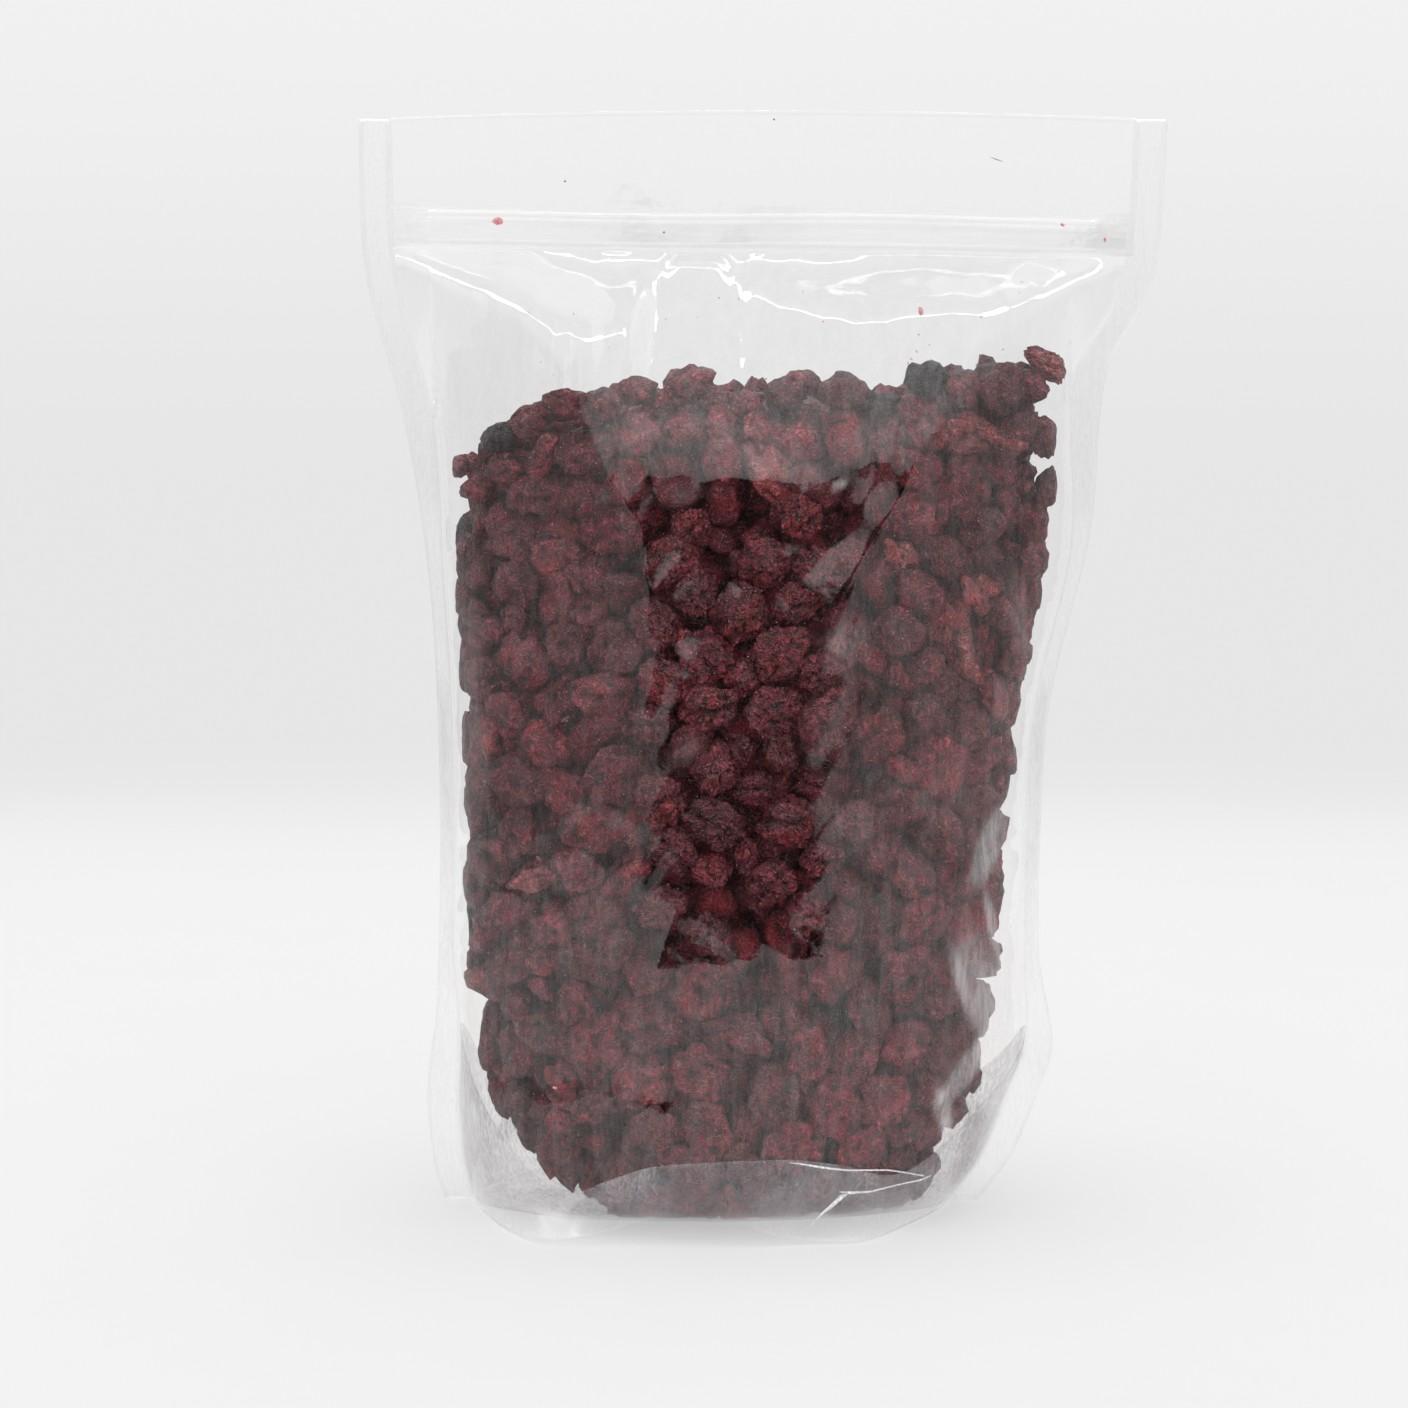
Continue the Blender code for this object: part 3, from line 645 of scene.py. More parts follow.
def zip_plastic():
    """Soft clear plastic with a faint milky bloom, whiter where its ends are crushed."""
    n = Nodes(bpy.data.materials.new("zip_plastic"))
    edge_on = n.maths("POWER", n.turned_away(), 4.0)
    mirror = n.plus(0.040, n.times(edge_on, 0.8), clamp=True)
    clear = n.make("BsdfTransparent", {})
    milk = n.make("BsdfDiffuse", {"Color": (0.95, 0.945, 0.93)})
    gloss = n.make("BsdfGlossy", {"Color": (1.0, 1.0, 1.0), "Roughness": 0.12,
                                  "Normal": n.bump(n.grain(0.0020, 2.0, (0.05, 1, 1)), 0.00001)})
    crushed = n.spread(n.maths("ABSOLUTE", n.axis("X")), 0.078, 0.089, 0.0, 0.02)
    bloom = n.spread(n.grain(0.003, 3.0, (0.12, 1, 1)), 0.3, 0.7, 0.010, 0.045)
    return n.finish(n.mix(mirror, n.mix(n.plus(bloom, crushed), clear, milk), gloss))


zip_finish = zip_plastic()


def zip_strip(name, face):
    """One half of the zip, as a profile carried along the header's slight lean."""
    half = FLAT_WIDTH / 2 - WELD
    rings = []
    bm = bmesh.new()
    for x in np.sin(np.pi * (np.arange(121) / 120 - 0.5)) * half:
        crush = float(ease(0.080, 0.090, abs(x)))
        middle = ZIP_HEIGHT + ZIP_SLOPE * x + 0.00025 * math.sin(x * 60) + 0.0003 * math.sin(x * 21 + 1)
        outer, inner = [], []
        for up, out in ZIP_PROFILE:
            ripple = 0.12 * crush * math.sin(x * 2400 + up * 9)
            high = out * (1 - 0.72 * crush) + max(ripple, 0.0)
            at = middle + ZIP_TALL * up * (1 + 0.12 * crush)
            outer.append(bm.verts.new((x, face * (GAP / 2 + 0.0001 + ZIP_RIB * max(high, 0.04)), at)))
            inner.append(bm.verts.new((x, face * (GAP / 2 + 0.00002), at)))
        rings.append(outer + inner[::-1])
    close_rings(bm, rings)
    return finish_mesh(name, bm, zip_finish, smooth=False)


for name, face, node in (("zip_front_strip", -1, "zip_front"), ("zip_back_strip", 1, "zip_back")):
    strip = zip_strip(name, face)
    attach(strip, "root")
    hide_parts(node)

# THE CORE OF THE HEAP
# Behind the fruit that shows lies more of the same, in the dark. One lumpy body stands for it, two layers of
# berries in from the film. Its skin is the berries' skin made far darker, which is painted shade.
FRUIT_LEFT = (
    (0.000, -0.034), (0.003, -0.044), (0.009, -0.0535), (0.018, -0.063), (0.031, -0.0718), (0.065, -0.0775),
    (0.155, -0.0795), (0.200, -0.0770), (0.214, -0.0720))
FRUIT_RIGHT = (
    (0.000, 0.029), (0.003, 0.038), (0.009, 0.0455), (0.018, 0.0505), (0.039, 0.0590), (0.096, 0.0640),
    (0.129, 0.0676), (0.155, 0.0724), (0.200, 0.0735), (0.220, 0.0735))
FRUIT_TOP = (
    (-0.080, 0.181), (-0.070, 0.193), (-0.058, 0.200), (-0.035, 0.2045), (-0.012, 0.2075), (0.020, 0.2075),
    (0.036, 0.2065), (0.055, 0.2125), (0.068, 0.2140), (0.078, 0.204))
CORE_INSET = 0.017
CORE_FOOT = 0.020
CORE_TOP = 0.196
CORE_LUMPS = 0.0875


def heap_span(z):
    """Middle, half width and half depth of the heap at a height."""
    left, right = along(FRUIT_LEFT, z), along(FRUIT_RIGHT, z)
    return (left + right) / 2, (right - left) / 2, along(DEPTHS, z) * along(FOOT_DEPTH, z)


def fruit_colour(name, deep, bright, bloom, dust):
    """Wrinkled skin, with painted shade that makes it nearly black in its grooves and wrinkle valleys and
    darker at its edges, painted highlights that make it redder and paler along its ridges, and a dull bloom
    in places.
    """
    n = Nodes(bpy.data.materials.new(name))
    tint = n.spread(n.measure("tint"), 0.0, 1.0, 0.25, 1.0)
    wide = n.from_middle(n.grain(0.0040, 2.0, rough=0.4, twist=1.6))
    narrow = n.from_middle(n.grain(0.0021, 2.0, rough=0.45, twist=1.8))
    fine = n.grain(0.0006, 2.0, rough=0.6)
    height = n.plus(n.times(n.spread(wide, 0.0, 0.10, 1.0, 0.0), 0.58),
                    n.times(n.spread(narrow, 0.0, 0.10, 1.0, 0.0), 0.42))
    redness = n.times(n.spread(n.grain(0.0048, 3.0, rough=0.6), 0.38, 0.64, 0.25, 1.0), tint)
    # Redder on the wrinkles' ridges than in their valleys: painted highlight and painted shade.
    red = n.blend(n.times(redness, n.spread(height, 0.0, 0.9, 0.65, 1.0)), deep, bright)
    # Painted shade: darker in the wrinkles' valleys, in the berry's grooves, and at its edges as they turn
    # away from the eye.
    unshaded = n.times(n.spread(height, 0.0, 0.50, 0.50, 1.0),
                        n.spread(n.measure("groove"), 0.1, 0.8, 1.0, 0.10),
                        n.spread(n.turned_away(), 0.25, 0.90, 1.0, 0.35))
    shaded = n.blend(unshaded, (0.006, 0.0012, 0.0020), red)
    dusty = n.times(n.spread(n.grain(0.0075, 3.0), 0.48, 0.72, 0.0, 1.0),
                    n.spread(fine, 0.38, 0.66, 0.55, 0.90), unshaded, dust)
    # Painted highlight: thin pale lines along the crests of the wrinkles.
    crest_highlight = n.maths("MAXIMUM", n.spread(wide, 0.0, 0.022, 1.0, 0.0), n.spread(narrow, 0.0, 0.026, 0.8, 0.0))
    crest_highlight = n.times(crest_highlight, unshaded, n.spread(fine, 0.38, 0.60, 0.65, 1.0), 0.55)
    rough = n.plus(height, n.times(fine, 0.14))
    return n.finish(n.make("BsdfPrincipled", {
        "Base Color": n.blend(crest_highlight, n.blend(dusty, shaded, bloom), bloom),
        "Roughness": n.spread(height, 0.3, 0.9, 0.48, 0.24),
        "Specular IOR Level": 0.32,
        "Normal": n.bump(rough, 0.0013)}))


# The core's skin is the berries' skin many times darker: painted shade.
core_painted_dark = fruit_colour("fruit_painted_dark", (0.020, 0.002, 0.003), (0.045, 0.003, 0.005),
                         (0.04, 0.03, 0.03), 0.3)


def join_heap(piece):
    """Makes a piece part of the heap of fruit."""
    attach(piece, "root")
    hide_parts("cranberries")


def heap_core():
    """Closed lumpy body inside the heap."""
    bm = bmesh.new()
    rings = []
    for z in np.linspace(CORE_FOOT, CORE_TOP, 60):
        centre, half, deep = (float(v) for v in heap_span(z))
        end = min(1.0, (z - CORE_FOOT + 0.006) / 0.02, (CORE_TOP + 0.0045 - z) / 0.02) ** 0.5
        ring = []
        for turn in np.linspace(0, 2 * math.pi, 97)[:-1]:
            c, s = math.cos(turn), math.sin(turn)
            reach = end * (1.0 - CORE_LUMPS * (1 + noise.noise(Vector((c * 9, s * 6, z * 130)))))
            x = centre + (half - CORE_INSET) * reach * c
            y = (deep - CORE_INSET) * reach * s
            ring.append(bm.verts.new((x, y, min(z, float(along(FRUIT_TOP, x)) - 0.014))))
        rings.append(ring)
    close_rings(bm, rings)
    return finish_mesh("heap_core", bm, core_painted_dark)


join_heap(heap_core())

# THE DRIED CRANBERRIES
# Whole berries, dried until they are 11 to 15 mm across, soft and wrinkled like raisins. They lie flat
# against the film where it presses on them, and fill the pouch's sides two deep.
BERRY_LONG = 0.0078
BERRY_WIDE = 0.0067
BERRY_THICK = 0.0051
BERRY_COUNT = 1000
LARGE_SHARE = 0.82
DUSKY_MORE = 4
TORN_COUNT = 30
SHELL = 0.021
SETTLE_STEPS = 130
NUDGE = 0.32
# The berries that lie against the front film in its clear middle: place (x, z), half length, half width in
# millimetres, and the angle of the long side
WINDOW_BERRIES = (
    (-22, 168.7, 7.5, 5.5, 55), (-16.4, 160.8, 6, 4.8, 100), (0.6, 168.3, 6.5, 5.3, 20),
    (14, 166.5, 6.2, 5.5, -40), (-5.2, 155.8, 7, 6, 70), (7.7, 158, 6, 4.6, 15),
    (-25.9, 152.8, 6.7, 5.8, -30), (-13.7, 146, 7.5, 6.5, -55), (4.2, 145.6, 8.2, 6.5, 30),
    (-4.5, 140.4, 4.6, 3.8, 80), (14, 141.9, 5.8, 4.6, 20), (-23.7, 139, 6.5, 5.5, -25),
    (-12.7, 132.9, 7, 5.8, 20), (2.5, 132.5, 6.7, 6, 15), (16.4, 129.3, 8.4, 7, 65),
    (-27.8, 129.3, 6.2, 4.3, 10), (-11, 118.4, 6.5, 5, 75), (-4.5, 122.6, 3.7, 2.9, 70),
    (4.7, 122.8, 6, 3.6, 110), (-2.1, 113.8, 4.8, 4.1, 10), (12.8, 114.3, 4.1, 3.4, -10),
    (-24.7, 110.1, 6.5, 6, 40), (-11.1, 105.2, 7.7, 5.5, -20), (6, 105.7, 7, 6, 5),
    (-21.3, 98.4, 6.2, 5.5, -35), (-3.5, 96.9, 4.8, 2.9, 95), (14.7, 95.6, 5, 4.3, 10),
    (2.3, 90.4, 6, 5.3, 60), (-12, 93.2, 4.8, 4.1, 0), (-24.5, 83.5, 6.5, 5.5, 5),
    (-13.5, 77.3, 5.5, 4.6, 80), (10.4, 82.1, 6, 4.6, 15), (20.5, 147.3, 4.8, 4.1, 60),
    (-17.4, 125.4, 5, 3.6, 40), (23.5, 105.4, 6.2, 4.8, -15), (-17.4, 176.2, 5.3, 4.3, 60),
    (9.3, 178.7, 5.3, 4.6, 100), (21.5, 168.9, 4.8, 4.1, 70))
# The berries along the top of the heap, read in the same way
TOP_BERRIES = (
    (-75.8, 188.8, 4.1, 2.6, 150), (-70.1, 184.3, 5.3, 4.1, 20), (-56.5, 201, 5.5, 4.8, 30),
    (-49, 205.4, 7.2, 3.6, 10), (-39.2, 205.2, 6, 4.8, 60), (-31.4, 208.9, 6, 3.6, 5),
    (-25.3, 205.4, 4.8, 4.1, 80), (-18, 209.8, 6.7, 5.8, 70), (-11.2, 206, 4.8, 4.3, 10),
    (-4.7, 205, 5.3, 4.3, 30), (5.7, 207.9, 5.3, 5.3, 30), (10, 210.8, 4.3, 3.1, 0),
    (19.7, 208.3, 6.7, 5.5, -30), (48.9, 209.1, 6, 5.3, 40), (58.4, 209.2, 8.7, 7, 20),
    (66.6, 209.3, 4.8, 4.3, 60), (70, 196.4, 5.3, 4.1, 80), (71.9, 183.9, 5.3, 4.1, 60),
    (67.6, 166.9, 4.8, 4.1, 90))
DUSKY_BERRIES = ((-64.8, 196.8, 5.5, 4.1, 10), (29.2, 205.7, 4.8, 3.6, 10), (40.5, 211.8, 6.2, 4.4, 0))
POINTED_BERRIES = ((71.3, 213.9, 7.9, 4.3, 60),)
draw = np.random.default_rng(20)


def keep_in_heap(spots, slack):
    """Berry centres moved until each lies inside the heap and outside its core."""
    x, y, z = spots.T.copy()
    z = np.clip(z, 0.001 + slack, along(FRUIT_TOP, x) - slack)
    centre, half, deep = heap_span(z)
    q = np.hypot((x - centre) / (half - slack - 0.0012), y / np.maximum(deep - slack, 0.004))
    q = np.maximum(q, 1.0)
    x, y = centre + (x - centre) / q, y / q
    limit = np.maximum(film_depth(x, z) * foot_share(z) - slack - 0.0008, 0.0005)
    sunk = 0.0050 * ease(0.036, 0.026, np.abs(x)) * ease(0.060, 0.075, z) * ease(0.192, 0.180, z)
    y = np.clip(y, -np.maximum(limit - sunk, 0.0005), limit)
    inner = np.hypot((x - centre) / np.maximum(half - SHELL, 0.01), y / np.maximum(deep - SHELL, 0.006))
    deep_in = (inner < 1) & (z < along(FRUIT_TOP, x) - SHELL) & (z > SHELL)
    push = np.where(deep_in, 1 + (1 / np.maximum(inner, 0.2) - 1) * 0.5, 1.0)
    return np.stack((centre + (x - centre) * push, y * push, z), axis=-1)


def outward(spots):
    """Direction towards the film at each spot, and how near the film it is, from 0 to 1."""
    x, y, z = spots.T
    centre, half, deep = heap_span(z)
    q = np.hypot((x - centre) / half, y / deep)
    up = ease(0.018, 0.004, along(FRUIT_TOP, x) - z)
    low = ease(0.016, 0.004, z)
    way = np.stack(((x - centre) / half**2 * 0.05, y / deep**2 * 0.05, 1.4 * up - 0.9 * low), axis=-1)
    way /= np.linalg.norm(way, axis=1)[:, None] + 1e-9
    return way, np.maximum(q, np.maximum(up, low))


def settle(count, held):
    """Spots that fill the heap's outer shell as packed berries do, round the ones that are held in place."""
    size = np.where(draw.uniform(0, 1, count) < LARGE_SHARE, draw.uniform(0.86, 1.14, count),
                    draw.uniform(0.52, 0.80, count))
    spots = np.stack((draw.uniform(-0.075, 0.070, count), draw.uniform(-0.045, 0.045, count),
                      draw.uniform(0.003, 0.212, count)), axis=-1)
    spots = keep_in_heap(spots, BERRY_THICK * size)
    x, z = held[:, 0] / 1000, held[:, 1] / 1000
    sunk = np.where(z > 0.182, 0.0085, 0.0040)
    fixed = np.stack((x, sunk - panel_depth(-1, x, z), z), axis=-1)
    spots = np.concatenate((fixed, spots))
    size = np.concatenate((np.sqrt(held[:, 2] * held[:, 3]) / 1000 / np.sqrt(BERRY_LONG * BERRY_WIDE), size))
    for step in range(SETTLE_STEPS):
        way, _ = outward(spots)
        between = spots[:, None, :] - spots[None, :, :]
        through = np.einsum("ijk,ik->ij", between, way)
        apart = np.sqrt((between**2).sum(-1) + 0.65 * through**2) + 1e-9
        np.fill_diagonal(apart, 1.0)
        want = (size[:, None] + size[None, :]) * BERRY_WIDE * 0.98
        short = np.clip(want - apart, 0, None) / apart
        spots = keep_in_heap(spots + NUDGE * (between * short[:, :, None]).sum(1), BERRY_THICK * size)
        spots[:len(fixed)] = fixed
    return spots, size


def berry_shape(name, seed, shape=(1, 1, 1), fold=0.0, hollow=0.0, bend=0.0, point=0.0, fine=3):
    """One dried berry: lumps, a meandering net of grooves, and where asked a deep fold, hollow or tip."""
    bm = bmesh.new()
    bmesh.ops.create_icosphere(bm, subdivisions=fine, radius=1.0)
    grooves = []
    shift = Vector((seed * 7.3, seed * 3.1, seed * 5.7))
    for vert in bm.verts:
        p = vert.co.normalized()
        sway = Vector([noise.noise(p * 2.4 + shift * part) for part in (1, -1, 3)])
        lumps = noise.noise(p * 1.4 + shift) * 0.30 + noise.noise(p * 2.9 + shift) * 0.20
        wide = math.exp(-((noise.noise(p * 2.5 + shift * 2 + 0.9 * sway) / 0.10) ** 2))
        narrow = 0.0
        if fine > 4:
            narrow = math.exp(-((noise.noise(p * 5.4 + shift * 4 + 1.2 * sway) / 0.11) ** 2))
        line = p.x * 0.25 + p.y + 0.15 * noise.noise(p * 2 - shift)
        cut = math.exp(-((line / 0.16) ** 2)) * max(p.z + 0.15, 0)
        reach = 1.04 + lumps - 0.20 * wide - 0.075 * narrow - fold * cut
        co = p * reach
        co.z -= hollow * math.exp(-(co.x**2 + co.y**2) / 0.20) * (1 if co.z > 0 else 0.35)
        co.x *= 1 + point * max(p.x, 0) ** 2
        taper = 1 - 0.5 * point * max(p.x, 0)
        co.y *= taper
        co.z = co.z * taper + bend * (co.x**2 - 0.4)
        vert.co = (co.x * BERRY_LONG * shape[0], co.y * BERRY_WIDE * shape[1], co.z * BERRY_THICK * shape[2])
        grooves.append(min(1.0, 0.75 * wide + 0.45 * narrow + fold * 1.2 * cut))
    mesh = bpy.data.meshes.new(name)
    for face in bm.faces:
        face.smooth = True
    bm.to_mesh(mesh)
    bm.free()
    # How deep in a groove each point lies, which the skin uses to paint shade.
    mesh.attributes.new("groove", "FLOAT", "POINT").data.foreach_set("value", grooves)
    return bpy.data.objects.new(name, mesh)


def placing_tree():
    """Geometry Nodes tree that sets one of several berry shapes at each spot, at its turn and size."""
    tree = bpy.data.node_groups.new("place_berries", "GeometryNodeTree")
    for name, kind in (("Spots", "NodeSocketGeometry"), ("Shapes", "NodeSocketCollection"),
                       ("Size", "NodeSocketFloat"), ("Skin", "NodeSocketMaterial")):
        tree.interface.new_socket(name, in_out="INPUT", socket_type=kind)
    tree.interface.new_socket("Berries", in_out="OUTPUT", socket_type="NodeSocketGeometry")
    add, link = tree.nodes.new, tree.links.new
    given, made = add("NodeGroupInput"), add("NodeGroupOutput")
    shapes, place = add("GeometryNodeCollectionInfo"), add("GeometryNodeInstanceOnPoints")
    shapes.inputs["Separate Children"].default_value = True
    shapes.inputs["Reset Children"].default_value = True
    place.inputs["Pick Instance"].default_value = True
    link(given.outputs["Spots"], place.inputs["Points"])
    link(given.outputs["Shapes"], shapes.inputs["Collection"])
    link(shapes.outputs[0], place.inputs["Instance"])
    for attribute, kind, socket in (("pick", "INT", "Instance Index"), ("turn", "FLOAT_VECTOR", "Rotation"),
                                    ("scale", "FLOAT_VECTOR", "Scale")):
        named = add("GeometryNodeInputNamedAttribute")
        named.data_type = kind
        named.inputs["Name"].default_value = attribute
        value = named.outputs["Attribute"]
        if attribute == "scale":
            grow = add("ShaderNodeVectorMath")
            grow.operation = "SCALE"
            link(value, grow.inputs[0])
            link(given.outputs["Size"], grow.inputs["Scale"])
            value = grow.outputs[0]
        link(value, place.inputs[socket])
    whole, paint = add("GeometryNodeRealizeInstances"), add("GeometryNodeSetMaterial")
    link(place.outputs[0], whole.inputs[0])
    link(whole.outputs[0], paint.inputs["Geometry"])
    link(given.outputs["Skin"], paint.inputs["Material"])
    link(paint.outputs[0], made.inputs[0])
    return tree


berry_tree = placing_tree()


def grown(name, tree, mesh, values):
    """Plain mesh object that a tree makes of a mesh, with the tree's inputs set by name."""
    obj = bpy.data.objects.new(name, mesh)
    bpy.context.scene.collection.objects.link(obj)
    modifier = obj.modifiers.new("make", "NODES")
    modifier.node_group = tree
    for item in tree.interface.items_tree:
        if item.in_out == "INPUT" and item.name in values:
            modifier[item.identifier] = values[item.name]
    bpy.context.view_layer.update()
    graph = bpy.context.evaluated_depsgraph_get()
    made = bpy.data.meshes.new_from_object(obj.evaluated_get(graph), preserve_all_data_layers=True,
                                           depsgraph=graph)
    obj.modifiers.remove(modifier)
    obj.data = made
    made.name = name
    bpy.data.meshes.remove(mesh)
    return obj


def room_inside(face, x, z):
    """Room from the middle plane to a panel, or below its seal to the gusset."""
    row = front[0] if face < 0 else back[0]
    (now, half), (before, width) = weld_span(z), weld_span(row[:, 2])
    place, stations = (x - now) / half, (row[:, 0] - before) / width
    seal, reach = np.interp(place, stations, row[:, 2]), np.interp(place, stations, np.abs(row[:, 1]))
    return np.where(z < seal, reach * foot_share(z) / foot_share(seal), panel_depth(face, x, z))


def squeeze(reach, limit, soft):
    """Distance that is kept under a limit and pressed together softly just before it."""
    over = np.maximum(reach - limit + soft, 0.0)
    return np.where(over > 0, limit - soft * np.exp(-over / soft), reach)


def press_to_film(mesh):
    """Presses the berries flat against the film and the floor, so that none comes through."""
    x, y, z = points_of(mesh)
    z = -squeeze(-z, -0.0011, 0.0015)
    centre, half, _ = heap_span(z)
    spare = 0.0015 + 0.006 * ease(0.196, 0.206, z)
    for middle, reach in ((centre, half + spare), (weld_span(z)[0], weld_span(z)[1] - 0.0012)):
        x = middle + np.sign(x - middle) * squeeze(np.abs(x - middle), reach, 0.004)
    room = np.where(y < 0, room_inside(-1, x, z), room_inside(1, x, z))
    room = np.maximum(room - 0.0009, 0.0003)
    y = np.sign(y) * squeeze(np.abs(y), room, np.minimum(0.0012, room / 2))
    mesh.vertices.foreach_set("co", np.stack((x, y, z), axis=-1).astype(np.float32).ravel())
    mesh.update()


def scatter(name, shapes, material, at, turns, sizes):
    """One kind of small piece, set at its places by the tree, as one mesh of the heap."""
    group = bpy.data.collections.new(name + "_shapes")
    for shape in shapes:
        group.objects.link(shape)
    mesh = bpy.data.meshes.new(name + "_spots")
    mesh.from_pydata([tuple(p) for p in at], [], [])
    for key, values in (("turn", turns), ("scale", sizes)):
        mesh.attributes.new(key, "FLOAT_VECTOR", "POINT").data.foreach_set("vector", np.ravel(values))
    mesh.attributes.new("tint", "FLOAT", "POINT").data.foreach_set("value", draw.uniform(0, 1, len(at)))
    picks = [int(v) for v in draw.permutation(len(at)) % len(shapes)]
    mesh.attributes.new("pick", "INT", "POINT").data.foreach_set("value", picks)
    obj = grown(name, berry_tree, mesh, {"Shapes": group, "Size": 1.0, "Skin": material})
    for shape in shapes:
        bpy.data.objects.remove(shape)
    bpy.data.collections.remove(group)
    join_heap(obj)
    return obj


def place_berries(name, count, seed, skin, chosen, loose, shape=(1, 1, 1), fold=(0,), hollow=(0,), **rest):
    """One kind of berry in a few shapes, each berry lying as the film beside it does, more or less."""
    shapes = [berry_shape(f"{name}_{k}", seed + k, shape, fold[k % len(fold)], hollow[k % len(hollow)],
                          **rest)
              for k in range(count)]
    turns = []
    for k in chosen:
        lean = Vector(ways[k]) + Vector(draw.normal(0, loose, 3))
        spin = Euler((0, 0, float(spins[k]))).to_quaternion()
        turns.append(tuple((lean.to_track_quat("Z", "Y") @ spin).to_euler()))
    press_to_film(scatter(name, shapes, skin, spots[chosen], turns, scales[chosen]).data)


red_skin = fruit_colour("dried_cranberry_skin", (0.105, 0.0080, 0.0140), (0.52, 0.038, 0.056),
                        (0.42, 0.170, 0.190), 0.45)
dusky_skin = fruit_colour("dusky_berry_skin", (0.014, 0.010, 0.015), (0.040, 0.020, 0.026),
                          (0.16, 0.16, 0.18), 0.7)
torn_skin = fruit_colour("torn_berry_skin", (0.34, 0.035, 0.042), (0.84, 0.13, 0.14), (0.62, 0.33, 0.34), 0.6)

held = np.array(WINDOW_BERRIES + TOP_BERRIES + DUSKY_BERRIES + POINTED_BERRIES, float)
spots, size = settle(BERRY_COUNT, held)
ways, near_film = outward(spots)
spins = np.concatenate((np.radians(held[:, 4]), draw.uniform(0, 2 * math.pi, BERRY_COUNT)))
scales = size[:, None] * draw.uniform(0.92, 1.10, (len(size), 3))
scales[:len(held), 0] = held[:, 2] / 1000 / BERRY_LONG
scales[:len(held), 1] = held[:, 3] / 1000 / BERRY_WIDE
ends = np.cumsum([len(kind) for kind in (WINDOW_BERRIES, TOP_BERRIES, DUSKY_BERRIES, POINTED_BERRIES)])
window, top, dusky, pointed, free = np.split(np.arange(len(spots)), ends)
outer = draw.permutation(free[near_film[free] > 0.80])
inner = free[near_film[free] <= 0.80]
more_dusky, torn, outer = np.split(outer, (DUSKY_MORE, DUSKY_MORE + TORN_COUNT))
dusky = np.concatenate((dusky, more_dusky))
quarter = len(outer) // 4
plump, folded, flat, stretched = np.split(outer, (quarter, 2 * quarter, 3 * quarter))

place_berries("window_berries", 8, 71, red_skin, window, 0.05, fold=(0, 0.35, 0, 0.25),
              hollow=(0, 0, 0.3, 0), fine=5)
place_berries("top_berries", 5, 81, red_skin, top, 0.15, (1, 1, 1.1), fold=(0, 0.2))
place_berries("pointed_berry", 1, 94, torn_skin, pointed, 0.05, (0.85, 0.9, 0.8), point=0.4, fine=5)
place_berries("plump_berries", 5, 1, red_skin, plump, 0.28, (0.94, 1.0, 1.02))
place_berries("folded_berries", 5, 11, red_skin, folded, 0.28, (1.02, 0.98, 1.0), fold=(0.45,))
place_berries("flat_berries", 5, 21, red_skin, flat, 0.25, (1.05, 1.06, 0.86), hollow=(0.42,))
place_berries("long_berries", 5, 31, red_skin, stretched, 0.35, (1.18, 0.88, 0.96), fold=(0.2,), bend=0.22)
place_berries("dusky_berries", 3, 41, dusky_skin, dusky, 0.2, (1, 1, 1.1))
place_berries("torn_berries", 4, 51, torn_skin, torn, 0.5, (1.0, 0.8, 0.6), hollow=(0.3,), bend=0.35,
              point=0.5)
place_berries("inner_berries", 5, 61, red_skin, inner, 0.8, (1.04, 1.04, 1.1), fold=(0.2,), fine=2)

# THE CRUMBS AND DUST
# Flakes of skin, torn off in the drying, cling to the inside of the film and the zip, with fine pale dust
# between them. The flakes that can be told apart are given by across, height, half length and half width in
# millimetres, and the angle of the long side.
PALE_CRUMBS = (
    (-65.6, 249.5, 1.3, 0.9, 10), (74.2, 248.7, 0.55, 0.4, 40), (84.7, 245, 0.6, 0.35, 80),
    (38.7, 228.3, 1.1, 0.6, 80), (38.1, 222.9, 0.35, 0.2, 60), (37.6, 218.9, 0.4, 0.2, 70),
    (36.3, 217.1, 0.35, 0.2, 30), (-51, 37.2, 0.6, 0.4, 20))
DARK_CRUMBS = (
    (-20.2, 44.8, 1.0, 0.7, 60), (-22.4, 31.8, 0.9, 0.5, 70), (-65.8, 38.5, 0.9, 0.5, 30),
    (-48, 129.6, 1.3, 0.4, -30), (-54.7, 94.5, 0.9, 0.5, 50), (-48.9, 259.3, 0.25, 0.2, 0),
    (-24.4, 246.8, 0.25, 0.2, 0), (2.8, 274.5, 0.25, 0.2, 0), (57.8, 264.7, 1.6, 0.08, 20))


def flake_skin(name, dark, pale):
    """Thin dry flake of skin, lighter in patches."""
    n = Nodes(bpy.data.materials.new(name))
    colour = n.blend(n.spread(n.grain(0.0006, 2.0), 0.35, 0.65, 0.0, 1.0), dark, pale)
    return n.finish(n.make("BsdfPrincipled", {"Base Color": colour, "Roughness": 0.5}))


def on_panel(face, x, z, inside):
    """Spot just inside one panel, or between its films where they lie together."""
    least = 0.0002 + 0.0012 * (np.abs(z - ZIP_HEIGHT) < 0.005)
    return face * np.maximum(panel_depth(face, x, z) - inside, least)


